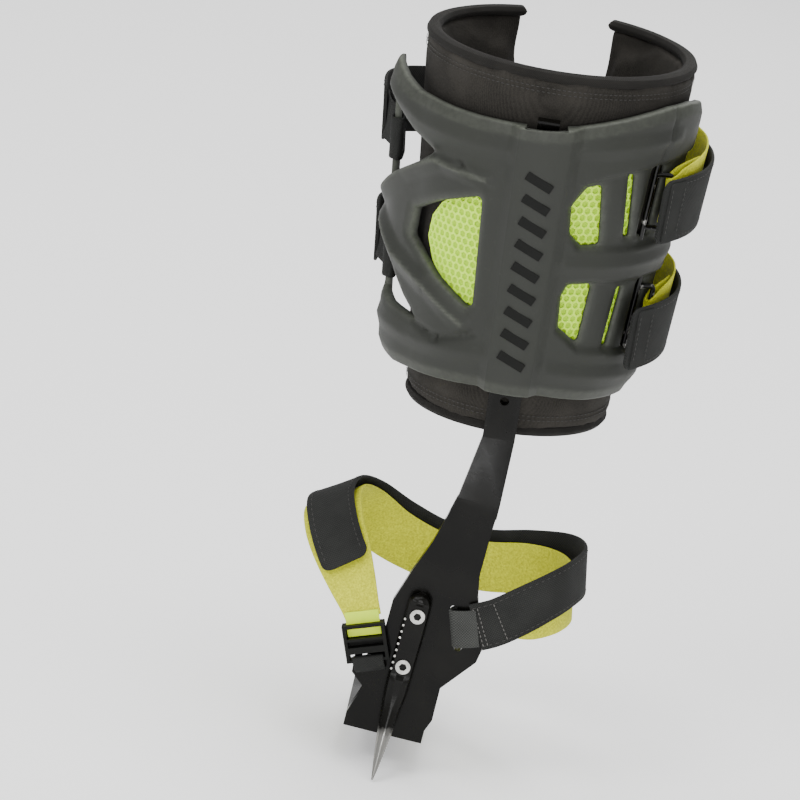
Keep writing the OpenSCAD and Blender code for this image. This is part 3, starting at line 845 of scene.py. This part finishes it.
class SPUR_OT_calf_shell(bpy.types.Operator):
    """Moulded calf shell with its windows, ridges and the rib over the bar"""

    bl_idname = "spur.calf_shell"
    bl_label = "Calf shell"

    def execute(self, context):
        edge = context.scene.spur_sizes.shell_edge / MM
        outer = rounded_outline(flat_points(SHELL_OUTLINE), 7)
        holes = [rounded_outline(flat_points(w), 3) for w in WINDOWS]
        bm = bmesh.new()
        for points in [outer, *holes]:
            verts = [bm.verts.new(p) for p in points]
            for i in range(len(verts)):
                bm.edges.new((verts[i - 1], verts[i]))
        bmesh.ops.triangle_fill(bm, edges=bm.edges, use_beauty=True)
        rim = bm.faces.layers.int.new("rim")
        for inset in (0.3 * edge, 0.35 * edge, 0.35 * edge):
            inside = [f for f in bm.faces if not f[rim]]
            made = bmesh.ops.inset_region(bm, faces=inside, thickness=inset,
                                          use_boundary=True, use_even_offset=True)
            for face in made["faces"]:
                face[rim] = 1
        self.cut_grid(bm, rim)
        bmesh.ops.remove_doubles(bm, verts=bm.verts, dist=0.01)
        # Layer of paleness on the outer face: wear from rubbing and painted highlight.
        rub_and_highlight = bm.verts.layers.float.new("rub_and_highlight")
        made = bmesh.ops.extrude_face_region(bm, geom=list(bm.faces))
        inner = {v for v in made["geom"] if isinstance(v, bmesh.types.BMVert)}
        self.bend(bm, inner, rub_and_highlight, outer, holes, edge)
        bmesh.ops.recalc_face_normals(bm, faces=bm.faces)
        bmesh.ops.transform(bm, matrix=CUFF, verts=bm.verts)
        finish(bm, "calf_shell_moulding", coat("shell_plastic"), "cuff", "shell_plastic",
               "calf_shell", crease=50)
        self.mark_bars(context)
        return {"FINISHED"}

    def cut_grid(self, bm, rim):
        """Divide the flat sheet into squares so that it can be bent and embossed."""
        pitch = 1.5
        across = np.arange(-97 * DEG, 99 * DEG, pitch)
        exact = [-RIB_FOOT, -RIB_TOP, -CHANNEL, CHANNEL, RIB_TOP, RIB_FOOT]
        cuts = [(Vector((u, 0, 0)), Vector((1, 0, 0))) for u in (*across, *exact)]
        cuts += [(Vector((0, z, 0)), Vector((0, 1, 0))) for z in np.arange(-5, 170, pitch)]
        for place, normal in cuts:
            bmesh.ops.bisect_plane(bm, geom=[*bm.verts, *bm.edges, *bm.faces], dist=1e-4,
                                   plane_co=place, plane_no=normal)
        slanted = []
        for edge in bm.edges:
            run = edge.verts[1].co - edge.verts[0].co
            inside = len(edge.link_faces) == 2 and not any(f[rim] for f in edge.link_faces)
            if inside and abs(run.x) > 0.002 and abs(run.y) > 0.002:
                slanted.append(edge)
        bmesh.ops.dissolve_edges(bm, edges=slanted, use_verts=False)

    def bend(self, bm, inner, rub_and_highlight, outer, holes, edge):
        """Roll the sheet onto the cone, emboss its outer face and give it its wall."""
        verts = list(bm.verts)
        points = np.array([(v.co.x, v.co.y) for v in verts])
        to_outer = distance_to_lines(points, loop_lines(outer))
        to_windows = distance_to_lines(points, [s for h in holes for s in loop_lines(h)])
        rim = np.minimum(to_outer, to_windows)
        relief = shell_relief(points, rim, to_windows, to_outer, edge)
        # Paler near the rims and the high crests, from wear and painted highlight; the 0.3 band
        # over the outer 6 mm chamfer is painted highlight on its upward slope.
        wear = np.maximum(np.exp(-rim / 1.3), crest_rub_and_highlight(points))
        wear = np.maximum(wear, np.where(to_outer < 6, 0.3, 0.3 * np.exp(-(to_outer - 6) / 0.6)))
        for v, (u, z), high, worn in zip(verts, points, relief, wear):
            if v in inner:
                pocket = CHANNEL_DEEP + CHANNEL_EXTRA * lever_room(z)
                off = pocket if abs(u) < CHANNEL + 0.05 else -SHELL_T
            else:
                off = max(high, -2.6)
                v[rub_and_highlight] = worn
            v.co = on_cone(u / DEG, off + wing(u / DEG), z)

    def mark_bars(self, context):
        """Column of plain slanted bars moulded on the rib"""
        bm = bmesh.new()
        for k in range(9):
            height = 22 + 13.2 * k
            rise = RIB_HIGH + 0.02 + RIB_EXTRA * lever_room(height)
            place = SLIDE @ Matrix.Translation((0, -rise, height)) \
                @ Matrix.Rotation(math.radians(24), 4, "Y")
            add_block(bm, (-8, -0.22, -2.6), (8, 0.1, 2.6), place, 0.1, 1)
        finish(bm, "rib_mark_bars", coat("black_plastic"), "cuff", "shell_plastic", "calf_shell")


# ---------------------------------------------------------------- pad


PAD_OUT = -6.5
PAD_IN = -15.0
PAD_LOW = -20.0
PAD_HIGH = 180.0
PAD_END = 160.0


def ring_rows(z, off, width, steps=96, end=PAD_END):
    """Rows of a strip that runs round the pad at one height."""
    angles = [-end + 2 * end * k / steps for k in range(steps + 1)]
    points = [CUFF @ on_cone(a, off, z) for a in angles]
    turn = CUFF.to_3x3()
    return strip_rows(points, [turn @ up_cone(a) for a in angles], [width] * len(points))


class SPUR_OT_calf_pad(bpy.types.Operator):
    """Foam calf pad in knit fabric, swelled as cloth, with its bindings and stitching"""

    bl_idname = "spur.calf_pad"
    bl_label = "Calf pad"

    def execute(self, context):
        pad = self.start_shape()
        self.swell(context, pad, context.scene.spur_sizes.pad_swell)
        self.sew_channels(pad)
        smooth = pad.modifiers.new("Smooth", "SUBSURF")
        smooth.levels = smooth.render_levels = 1
        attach(pad, "cuff")
        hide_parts("calf_pad")
        self.bindings()
        return {"FINISHED"}

    def start_shape(self):
        """C-shaped closed pad, a little slimmer than it ends up"""
        bm = bmesh.new()
        grid = bmesh.ops.create_grid(bm, x_segments=72, y_segments=40, size=1)
        made = bmesh.ops.extrude_face_region(bm, geom=list(bm.faces))
        inner = {v for v in made["geom"] if isinstance(v, bmesh.types.BMVert)}
        for v in bm.verts:
            off = PAD_IN + 0.6 if v in inner else PAD_OUT - 0.6
            angle = v.co.x * (PAD_END - 0.5)
            z = (PAD_LOW + PAD_HIGH) / 2 + v.co.y * ((PAD_HIGH - PAD_LOW) / 2 + 2.5)
            v.co = CUFF @ on_cone(angle, off, z) * MM
        bmesh.ops.recalc_face_normals(bm, faces=bm.faces)
        mesh = bpy.data.meshes.new("calf_pad_foam")
        bm.to_mesh(mesh)
        bm.free()
        mesh.materials.append(coat("pad_fabric"))
        pad = bpy.data.objects.new("calf_pad_foam", mesh)
        bpy.context.scene.collection.objects.link(pad)
        remesh = pad.modifiers.new("Remesh", "REMESH")
        remesh.mode = "VOXEL"
        remesh.voxel_size = 0.0035
        remesh.use_smooth_shade = True
        self.keep_shape(pad)
        return pad

    def keep_shape(self, pad):
        """Make what the modifiers show the pad's own mesh"""
        bpy.context.view_layer.update()
        shown = pad.evaluated_get(bpy.context.evaluated_depsgraph_get())
        mesh = bpy.data.meshes.new_from_object(shown)
        pad.modifiers.clear()
        pad.data = mesh
        mesh.shade_smooth()

    def swell(self, context, pad, most):
        start = np.array([v.co for v in pad.data.vertices])
        cloth = pad.modifiers.new("Cloth", "CLOTH")
        cloth.settings.use_pressure = True
        cloth.settings.uniform_pressure_force = 4
        cloth.settings.effector_weights.gravity = 0
        for number in range(1, 21):
            context.scene.frame_set(number)
        self.keep_shape(pad)
        context.scene.frame_set(1)
        moved = np.array([v.co for v in pad.data.vertices]) - start
        length = np.linalg.norm(moved, axis=1)
        keep = np.minimum(1.0, most / np.maximum(length, 1e-9))
        placed = start + moved * keep[:, None]
        for v, co in zip(pad.data.vertices, placed):
            v.co = co

    def sew_channels(self, pad):
        """Draw the fabric in along the rows of stitching"""
        to_cuff = CUFF.inverted()
        for v in pad.data.vertices:
            place = to_cuff @ (v.co / MM)
            r = math.hypot(place.x, place.y)
            off = r - SHELL_R - FLARE * place.z
            dip = 0.9 * math.exp(-((place.z - 174.5) / 1.8) ** 2)
            dip += 0.9 * math.exp(-((place.z + 14) / 1.8) ** 2)
            middle = (PAD_OUT + PAD_IN) / 2
            off = off - dip if off > middle else off + dip
            off = max(min(off, PAD_OUT + 0.15), PAD_IN - 2.5)
            ring = SHELL_R + FLARE * place.z + off
            place.x *= ring / r
            place.y *= ring / r
            v.co = (CUFF @ place) * MM

    def bindings(self):
        for name, node, z in (("pad_top_roll", "pad_top_binding", PAD_HIGH + 3.1),
                              ("pad_bottom_roll", "pad_bottom_binding", PAD_LOW - 3.1)):
            bm = bmesh.new()
            add_strip(bm, round_ends(ring_rows(z, PAD_IN + 0.1, 6.6), 2.5), 8.3)
            finish(bm, name, coat("binding_tape"), "cuff", "pad_binding", node)
            bm = bmesh.new()
            inward = -1 if z > 0 else 1
            for gap in (6.5, 9.0):
                rows = ring_rows(z + inward * gap, PAD_OUT - 0.35, 1)
                add_stitches(bm, rows, 0, 0, 2.9, 2.0, 0.6)
            finish(bm, name + "_stitches", coat("thread"), "cuff", "pad_binding", node)


# ---------------------------------------------------------------- lime mesh


class SPUR_OT_lime_mesh(bpy.types.Operator):
    """Honeycomb mesh inlays of the pad, seen through the shell's windows"""

    bl_idname = "spur.lime_mesh"
    bl_label = "Lime mesh"

    def execute(self, context):
        cell = context.scene.spur_sizes.mesh_cell / MM
        curve = [(-36, 106), (-47, 97), (-53.5, 87), (-56, 74), (-51, 62), (-40, 50), (-24, 38)]
        self.inlay("front_mesh", (-60, -18), (40, 114), cell, curve)
        self.inlay("rear_mesh", (14.5, 52), (26, 136), cell, [])
        return {"FINISHED"}

    def inlay(self, node, angles, heights, cell, curve):
        """Sheet of joined cells, cut to a box and to a curved edge given as angle and height"""
        bm = bmesh.new()
        side = cell / math.sqrt(3)
        lo = (angles[0] * DEG, heights[0])
        hi = (angles[1] * DEG, heights[1])
        columns = int((hi[0] - lo[0]) / cell) + 2
        rows = int((hi[1] - lo[1]) / (1.5 * side)) + 2
        for j in range(rows):
            for i in range(columns):
                centre = (lo[0] + (i + 0.5 * (j % 2)) * cell, lo[1] + j * 1.5 * side, 0)
                bmesh.ops.create_circle(bm, cap_ends=True, segments=6, radius=side,
                                        matrix=Matrix.Translation(centre))
        bmesh.ops.remove_doubles(bm, verts=bm.verts, dist=0.05)
        cuts = [((lo[0], 0, 0), (-1, 0, 0)), ((hi[0], 0, 0), (1, 0, 0)),
                ((0, lo[1], 0), (0, -1, 0)), ((0, hi[1], 0), (0, 1, 0))]
        edge = flat_points(curve)
        cuts += [(a, Vector((b.y - a.y, a.x - b.x, 0))) for a, b in zip(edge, edge[1:])]
        for place, normal in cuts:
            bmesh.ops.bisect_plane(bm, geom=[*bm.verts, *bm.edges, *bm.faces], dist=1e-4,
                                   plane_co=place, plane_no=normal, clear_outer=True)
        # The cut's size is taken here, while the sheet is still flat
        cut_area = sum(f.calc_area() for f in bm.faces) * MM * MM
        # Painted shade: marks the verts of each cell's hollow for a darker colour.
        well_shade = bm.verts.layers.float.new("well_shade")
        bmesh.ops.inset_individual(bm, faces=bm.faces, thickness=0.55, use_even_offset=True)
        flats = [f for f in bm.faces if all(len(v.link_faces) == 3 for v in f.verts)
                 and len(f.verts) > 4]
        bmesh.ops.inset_individual(bm, faces=flats, thickness=0.45, use_even_offset=True)
        deep = {v for f in flats for v in f.verts}
        for v in bm.verts:
            off = -5.7 if v in deep else -4.75
            v[well_shade] = 1.0 if v in deep else 0.0
            v.co = on_cone(v.co.x / DEG, off, v.co.y)
        bmesh.ops.recalc_face_normals(bm, faces=bm.faces)
        if sum(f.normal.dot(Vector((f.calc_center_median().x, f.calc_center_median().y, 0)))
               for f in bm.faces) < 0:
            bmesh.ops.reverse_faces(bm, faces=bm.faces)
        bmesh.ops.transform(bm, matrix=CUFF, verts=bm.verts)
        piece = finish(bm, node + "_inlay", coat("lime_mesh"), "cuff", "lime_mesh", node)


# ---------------------------------------------------------------- straps

FRONT_HEIGHTS = (128, 58)
DROPS = (15, 20)
RINGS = ((55, 115), (64, 47))
NAMES = ("upper", "lower")
# Angle from the inner side towards the toes, distance off the shell, rise over the slope
TAIL_ROUTE = [
    (103, 8, -5), (110, 11, -1), (118, 11, 0), (127, 9, 0), (145, 3, 0), (165, -2, 0),
    (185, -3, 0), (205, 0, 0), (225, 6, 0), (240, 10, 0), (255, 13, 0), (270, 13.5, 0),
    (280, 13.2, 0), (289, 12.4, 0), (297, 11.2, 0)]
TAIL_ENDS = ([(303, 10.4, 0), (308.5, 9.6, 0)], [(303, 10.2, 0), (309, 9.4, 0)])
LOOP_ROUTE = [
    (108, 11, -3), (103, 7.2, -6), (99, 1.9, -11), (92, 1.9, -13), (89.5, -2.4, -13),
    (92, -5.6, -13), (99, -5.6, -11), (102, -3, -8), (105, 4.4, -5), (108, 8.4, -3)]


def calf_rows(route, row, width, way=-1, steps=8):
    """Rows of a calf strap that follows a route round the shell."""
    path = smooth_path(route, steps)
    slope = DROPS[row] / 200
    points = [CUFF @ on_cone(-p.x, p.y + wing(-p.x), FRONT_HEIGHTS[row] + p.z - slope * (p.x - 94))
              for p in path]
    turn = CUFF.to_3x3()
    across = [turn @ (way * up_cone(-p.x)) for p in path]
    widths = width if isinstance(width, list) else [width] * len(points)
    return strip_rows(points, across, widths)


class SPUR_OT_calf_straps(bpy.types.Operator):
    """Black calf straps, lime fleece straps, their rings and free ends"""

    bl_idname = "spur.calf_straps"
    bl_label = "Calf straps"

    def execute(self, context):
        sizes = context.scene.spur_sizes
        width = sizes.calf_strap / MM
        thick = sizes.webbing / MM
        for row, name in enumerate(NAMES):
            self.tail(row, name, width, thick)
            self.front_loop(row, name)
            self.base(row, name, width)
            self.ring(row, name)
            self.hook_patch(row, name, width)
        return {"FINISHED"}

    def tail(self, row, name, width, thick):
        """Black strap and its free tab in one piece"""
        rows = round_ends(calf_rows(TAIL_ROUTE + TAIL_ENDS[row], row, width), 5)
        bm = bmesh.new()
        add_strip(bm, rows, thick)
        tab = name + "_tab"
        end_body = name + "_strap_end"
        hinge = calf_rows(TAIL_ROUTE[11:13], row, width)[0]
        stretch = (hinge[0] - hinge[1] * 1.0, hinge[0] + hinge[1] * 9.0)
        bodies = ("cuff", end_body)
        finish_bending(bm, name + "_calf_strap", coat("black_webbing"), "black_webbing",
                       bodies, stretch, name + "_tail_strap", tab)
        sewn = bmesh.new()
        for side in (width / 2 - 3, 3 - width / 2):
            add_stitches(sewn, rows, side, thick + 0.05, 3.4, 2.3, 0.55, trim=6)
        finish_bending(sewn, name + "_calf_strap_stitches", coat("thread"), "black_webbing",
                       bodies, stretch)
        # The free end is hemmed: a second layer with a cross row of stitches
        hem = bmesh.new()
        last = rows[-1][4]
        cut = [row_at(rows, last - 16 + k) for k in range(0, 14)]
        add_strip(hem, round_ends([(*r[:4], r[4], width - 3) for r in
                                   self.restart(cut)], 2), 1.0, thick)
        piece = finish(hem, name + "_tab_hem", coat("black_webbing"), end_body,
                       "black_webbing", tab)
        thread = bmesh.new()
        for back in (4.5, 14.0):
            at = row_at(rows, last - back)
            half = width / 2 - 5
            place = at[0] + at[3] * (thick + 1.1)
            add_stitch_line(thread, place - at[2] * half, place + at[2] * half, at[3])
        finish(thread, name + "_tab_stitches", coat("thread"), end_body, "black_webbing", tab)

    def restart(self, rows):
        first = rows[0][4]
        return [(*r[:4], r[4] - first, r[5]) for r in rows]

    def front_loop(self, row, name):
        bm = bmesh.new()
        rows = calf_rows(LOOP_ROUTE, row, 24 - 4 * row)
        add_strip(bm, rows, 1.4)
        finish(bm, name + "_front_loop", coat("black_webbing"), "cuff", "black_webbing",
               name + "_tail_strap")

    def base(self, row, name, width):
        """Lime strap looped round the ring's outer leg"""
        ring = RINGS[row][0]
        leg = 353.5 - ring
        route = [(228, 3.4, 7), (240, 6.6, 7), (255, 9.4, 7), (266, 9.8, 7),
                 (leg - 12, 9.2, 7), (leg - 5, 7.0, 5), (leg, 5.3, 3), (leg + 1.9, 3.7, 3),
                 (leg, 1.9, 3), (leg - 5, 2.4, 5), (leg - 12, 6.2, 7), (leg - 18, 7.8, 7)]
        narrow = 27.0
        widths = [(width, 0, 0)] * 4 + [(35, 0, 0), (29, 0, 0)] + [(narrow, 0, 0)] * 3
        widths += [(29, 0, 0), (33, 0, 0), (33, 0, 0)]
        steps = 8
        bm = bmesh.new()
        widths = [w.x for w in smooth_path(widths, steps)]
        rows = calf_rows(route, row, widths, -1, steps)
        add_strip(bm, rows, 1.3, -0.65)
        finish(bm, name + "_fleece_strap", coat("lime_fleece"), "cuff", "lime_fleece",
               name + "_base_strap")

    def ring(self, row, name):
        """Rectangular ring of round rod with its trunnions in the shell"""
        angle, z = RINGS[row]
        half, wide, rod = 17.0, 13.0, 1.45
        place = CUFF @ Matrix.Translation(on_cone(angle, -2, z)) \
            @ Matrix.Rotation(math.radians(angle), 4, "Z") \
            @ Matrix.Rotation(math.atan(FLARE), 4, "X")
        frame_turn = Matrix.Rotation(math.radians(-30), 4, "Z")
        bm = bmesh.new()
        corners = [Vector((0, 0, -half + rod)), Vector((0, 0, half - rod)),
                   Vector((wide - 2.6, 0, half - rod)), Vector((wide - 2.6, 0, rod - half))]
        path = []
        for i, p in enumerate(corners):
            a, b = corners[i - 1] - p, corners[(i + 1) % 4] - p
            for k in range(7):
                t = k / 6
                s, e = p + a.normalized() * 2.6, p + b.normalized() * 2.6
                path.append(s * (1 - t) ** 2 + p * 2 * t * (1 - t) + e * t ** 2)
        self.rod_loop(bm, path, rod)
        bmesh.ops.transform(bm, matrix=frame_turn, verts=bm.verts)
        bmesh.ops.create_cone(bm, cap_ends=True, segments=20, radius1=1.5, radius2=1.5,
                              depth=2 * half + 12)
        bmesh.ops.transform(bm, matrix=place, verts=bm.verts)
        finish(bm, name + "_strap_ring", coat("ring_steel"), "cuff", "ring_steel",
               name + "_ring")

    def rod_loop(self, bm, path, radius):
        """Round rod along a closed path, from circles bridged in turn"""
        loops = []
        n = len(path)
        for i, p in enumerate(path):
            along = (path[(i + 1) % n] - path[i - 1]).normalized()
            side = Vector((0, 1, 0))
            other = along.cross(side).normalized()
            turn = Matrix((side, other, along)).transposed().to_4x4()
            made = bmesh.ops.create_circle(bm, segments=12, radius=radius,
                                           matrix=Matrix.Translation(p) @ turn)
            loops.append({e for v in made["verts"] for e in v.link_edges})
        for i in range(n):
            bmesh.ops.bridge_loops(bm, edges=[*loops[i - 1], *loops[i]])
        bmesh.ops.recalc_face_normals(bm, faces=bm.faces)

    def hook_patch(self, row, name, width):
        bm = bmesh.new()
        rows = calf_rows(TAIL_ROUTE[12:14], row, width - 6)
        add_strip(bm, rows, 0.6, -0.85)
        finish(bm, name + "_hook_tape", coat("hook_tape"), name + "_strap_end", "hook_tape",
               name + "_hook_patch")


HEEL_PATH = [
    (36, -51.2, 71), (48, -50.5, 78), (67, -43, 92), (81, -27, 100), (88, 0, 101),
    (80, 28, 96), (60, 43, 88), (35, 49, 80), (8, 51, 78), (-18, 48, 86), (-40, 37, 99),
    (-55, 16, 109), (-60, -6, 110), (-55.5, -23, 102), (-48.5, -34, 92.5), (-42, -40, 85)]
HEEL_ACROSS = [
    (-0.25, 0, 1), (-0.25, 0, 1), (-0.24, 0, 1), (-0.22, 0, 1), (-0.2, 0, 1), (-0.1, 0, 1),
    (0, 0, 1), (0, 0, 1), (0.1, 0, 1), (0.4, 0, 0.9), (0.65, 0, 0.75), (0.8, 0, 0.6),
    (0.87, 0, 0.5), (0.87, 0, 0.5), (0.87, 0, 0.5), (0.87, 0, 0.5)]
INSTEP_PATH = [
    (57, -42.5, 71), (66, -38, 76), (78, -24.5, 83), (84, 0, 85), (76, 24, 84),
    (59, 37.5, 80), (35, 44, 73), (8, 46, 71), (-20, 42, 79), (-41, 31, 93.5),
    (-54.5, 12, 103.5), (-57.5, -5, 104), (-53.3, -20.3, 97), (-45.3, -32, 87),
    (-36.5, -41.5, 75.5), (-29.5, -48, 66), (-25.4, -51.4, 59.8)]
INSTEP_ACROSS = [
    (-0.3, 0, 1), (-0.28, 0, 1), (-0.25, 0, 1), (-0.2, 0, 1), (-0.1, 0, 1), (0, 0, 1),
    (0, 0, 1), (0.1, 0, 1), (0.4, 0, 0.9), (0.65, 0, 0.75), (0.8, 0, 0.6), (0.87, 0, 0.5),
    (0.87, 0, 0.5), (0.87, 0, 0.45), (0.87, 0, 0.4), (0.9, 0, 0.37), (0.92, 0, 0.36)]
INSTEP_WIDTHS = [9, 19, 27, 30, 30, 30, 30, 30, 32, 33, 34, 34, 34, 32, 27, 22, 20]


def foot_rows(path, across, widths, first=0, last=None, steps=8):
    """Rows of a foot strap between two of its points."""
    points = smooth_path(path, steps)
    ways = smooth_path(across, steps)
    wide = [w.x for w in smooth_path([(w, 0, 0) for w in widths], steps)]
    a = int(first * steps)
    b = None if last is None else int(last * steps) + 1
    return strip_rows(points[a:b], ways[a:b], wide[a:b])


class SPUR_OT_foot_straps(bpy.types.Operator):
    """Heel and instep straps with the free end over the instep"""

    bl_idname = "spur.foot_straps"
    bl_label = "Foot straps"

    def execute(self, context):
        sizes = context.scene.spur_sizes
        wide = sizes.foot_strap / MM
        thick = sizes.webbing / MM
        widths = [wide] * len(HEEL_PATH)
        joint = 12
        rows = foot_rows(HEEL_PATH, HEEL_ACROSS, widths, 0, joint)
        bm = bmesh.new()
        add_strip(bm, rows, thick)
        finish(bm, "heel_strap_band", coat("black_webbing"), "spur_iron", "black_webbing",
               "heel_strap")
        sewn = bmesh.new()
        for side in (wide / 2 - 2.6, 2.6 - wide / 2):
            add_stitches(sewn, rows, side, thick + 0.05, 3.4, 2.3, 0.55)
        finish(sewn, "heel_strap_stitches", coat("thread"), "spur_iron", "black_webbing",
               "heel_strap")
        self.slot_loop()
        self.free_end(widths, joint, thick)
        rows = foot_rows(INSTEP_PATH, INSTEP_ACROSS, INSTEP_WIDTHS)
        bm = bmesh.new()
        add_strip(bm, rows, thick)
        finish(bm, "instep_fleece_strap", coat("lime_fleece"), "spur_iron", "lime_fleece",
               "instep_strap")
        return {"FINISHED"}

    def slot_loop(self):
        """Sewn loop that holds the heel strap to the side plate"""
        path = [(37, -51.9, 71), (31, -52.3, 69), (24.4, -52, 67.5), (24.2, -48, 67.3),
                (26.5, -43.4, 67.5), (33, -43.2, 69.5), (42, -45, 74), (49, -48.2, 78)]
        moved = [(x, y - 0.4, z) for x, y, z in path]
        rows = foot_rows(moved, [(-0.33, 0, 1)] * len(path), [22] * len(path))
        bm = bmesh.new()
        add_strip(bm, rows, 1.6, -1.6)
        finish(bm, "heel_strap_loop", coat("grey_webbing"), "spur_iron", "black_webbing",
               "heel_strap")
        bm = bmesh.new()
        rows = foot_rows(HEEL_PATH, HEEL_ACROSS, [26] * len(HEEL_PATH), 0, 2)
        for back in (1.5, 4.0, 14.0):
            at = row_at(rows, back)
            place = at[0] + at[3] * 2.15
            add_stitch_line(bm, place - at[2] * 11.5, place + at[2] * 11.5, at[3], 2.6, 1.9, 0.7)
        finish(bm, "heel_loop_stitches", coat("grey_thread"), "spur_iron", "black_webbing",
               "heel_strap")

    def free_end(self, widths, joint, thick):
        """End of the black foot strap, hooked on the fleece"""
        rows = foot_rows(HEEL_PATH, HEEL_ACROSS, widths, joint - 0.25)
        rows = round_ends(rows, 5, (False, True))
        hinge = foot_rows(HEEL_PATH, HEEL_ACROSS, widths, 13)[0]
        stretch = (hinge[0] - hinge[1] * 2.0, hinge[0] + hinge[1] * 6.0)
        bodies = ("spur_iron", "foot_strap_end")
        bm = bmesh.new()
        add_strip(bm, rows, thick)
        finish_bending(bm, "instep_tab_end", coat("black_webbing"), "black_webbing",
                       bodies, stretch, "instep_tab")
        bm = bmesh.new()
        for side in (10.8, -10.8):
            add_stitches(bm, rows, side, thick + 0.05, 3.4, 2.3, 0.55, trim=5)
        finish_bending(bm, "instep_tab_stitches", coat("thread"), "black_webbing",
                       bodies, stretch)
        bm = bmesh.new()
        rows = foot_rows(HEEL_PATH, HEEL_ACROSS, [23] * len(HEEL_PATH), 13.5, 14.75)
        add_strip(bm, rows, 0.6, -0.85)
        finish(bm, "instep_hook_tape", coat("hook_tape"), "foot_strap_end", "hook_tape",
               "instep_hook_patch")


class SPUR_OT_buckle(bpy.types.Operator):
    """Ladder lock buckle, its anchor loop and the yellow webbing"""

    bl_idname = "spur.buckle"
    bl_label = "Buckle"

    def execute(self, context):
        machined("ladder_lock_buckle", "ladder_lock", coat("black_plastic"), "spur_iron",
                 "black_plastic", 0.5)
        machined("buckle_webbing", "buckle_pull_tab", coat("yellow_webbing"), "spur_iron",
                 "yellow_webbing", 0.3)
        # The anchor loop goes round the buckle's lowest bar, from the slot in the plate
        place = Matrix.Translation((-21.5, -50.6, 48)) @ Matrix.Rotation(
            math.radians(-21.5), 4, "Y")
        path = [(0, -2.2, -8.2), (0, -4.6, -7.9), (0, -7.0, -8.4), (0, -7.9, -10.6),
                (0, -7.2, -13.4), (0, -5.4, -15.6), (0, -3.4, -17.2), (0, -1.6, -18.4)]
        points = [place @ p for p in smooth_path(path, 6)]
        across = [place.to_3x3() @ Vector((-1, 0, 0))] * len(points)
        bm = bmesh.new()
        add_strip(bm, strip_rows(points, across, [17.5] * len(points)), 1.4)
        finish(bm, "anchor_loop", coat("black_webbing"), "spur_iron", "black_webbing",
               "buckle_anchor_loop")
        return {"FINISHED"}


# ---------------------------------------------------------------- stage


class SPUR_OT_stage(bpy.types.Operator):
    """Pale floor, soft lights and the camera"""

    bl_idname = "spur.stage"
    bl_label = "Stage"

    def execute(self, context):
        scene = context.scene
        ground = cad_box[0][2]
        bm = bmesh.new()
        bmesh.ops.create_grid(bm, x_segments=4, y_segments=4, size=8,
                              matrix=Matrix.Translation((0, 0, ground - 0.0005)))
        mesh = bpy.data.meshes.new("studio_floor")
        bm.to_mesh(mesh)
        bm.free()
        mesh.materials.append(floor_finish())
        floor = bpy.data.objects.new("studio_floor", mesh)
        scene.collection.objects.link(floor)
        self.camera(scene)
        for name, place, power, size in (("key", (-1.3, -1.5, 1.9), 30, 0.9),
                                         ("fill", (1.6, -1.2, 1.0), 7, 1.4),
                                         ("top", (-0.1, 0.1, 2.4), 60, 1.6),
                                         ("front", (0.05, -2.1, 0.42), 15, 0.6),
                                         ("back", (0.4, 1.9, 1.3), 12, 1.2)):
            light = bpy.data.lights.new(name, "AREA")
            light.energy = power
            light.size = size
            lamp = bpy.data.objects.new(name, light)
            lamp.visible_camera = False
            aim = Vector((0, 0, 0.2)) - Vector(place)
            lamp.matrix_world = Matrix.Translation(place) @ aim.to_track_quat(
                "-Z", "Y").to_matrix().to_4x4()
            scene.collection.objects.link(lamp)
        world = bpy.data.worlds.new("studio")
        world.use_nodes = True
        world.node_tree.nodes["Background"].inputs["Color"].default_value = (1, 1, 1, 1)
        world.node_tree.nodes["Background"].inputs["Strength"].default_value = 0.6
        scene.world = world
        return {"FINISHED"}

    def camera(self, scene):
        tilt, roll = math.radians(18), math.radians(14)
        lens = bpy.data.cameras.new("camera")
        lens.lens = 236.8
        lens.clip_end = 50
        back = Vector((0, -math.cos(tilt), math.sin(tilt)))
        right = Vector((1, 0, 0))
        up = back.cross(right)
        rolled_up = up * math.cos(roll) - right * math.sin(roll)
        rolled_right = right * math.cos(roll) + up * math.sin(roll)
        turn = Matrix((rolled_right, rolled_up, back)).transposed().to_4x4()
        camera = bpy.data.objects.new("camera", lens)
        camera.matrix_world = Matrix.Translation((-0.03555, -2.80245, 1.08315)) @ turn
        scene.collection.objects.link(camera)
        scene.camera = camera


# ---------------------------------------------------------------- panel


STEPS = (
    SPUR_OT_stage, SPUR_OT_shank, SPUR_OT_gaff, SPUR_OT_height_lock, SPUR_OT_calf_shell,
    SPUR_OT_calf_pad, SPUR_OT_lime_mesh, SPUR_OT_calf_straps, SPUR_OT_foot_straps,
    SPUR_OT_buckle)


class SPUR_PT_panel(bpy.types.Panel):
    """Lists the sizes, the colours and the steps of the spur"""

    bl_idname = "SPUR_PT_panel"
    bl_label = "Climbing Spur"
    bl_space_type = "VIEW_3D"
    bl_region_type = "UI"
    bl_category = "Climbing Spur"

    def draw(self, context):
        for group in (context.scene.spur_sizes, context.scene.spur_colours):
            box = self.layout.box()
            for name in group.bl_rna.properties.keys():
                if name not in ("rna_type", "name"):
                    box.prop(group, name)
        for step in STEPS:
            self.layout.operator(step.bl_idname)


CLASSES = (SpurSizes, SpurColours, *STEPS, SPUR_PT_panel)


def register():
    for cls in CLASSES:
        bpy.utils.register_class(cls)
    bpy.types.Scene.spur_sizes = PointerProperty(type=SpurSizes)
    bpy.types.Scene.spur_colours = PointerProperty(type=SpurColours)


def unregister():
    del bpy.types.Scene.spur_colours
    del bpy.types.Scene.spur_sizes
    for cls in reversed(CLASSES):
        bpy.utils.unregister_class(cls)


def main():
    register()
    for step in STEPS:
        group, name = step.bl_idname.split(".")
        getattr(getattr(bpy.ops, group), name)()


if __name__ == "__main__":
    main()
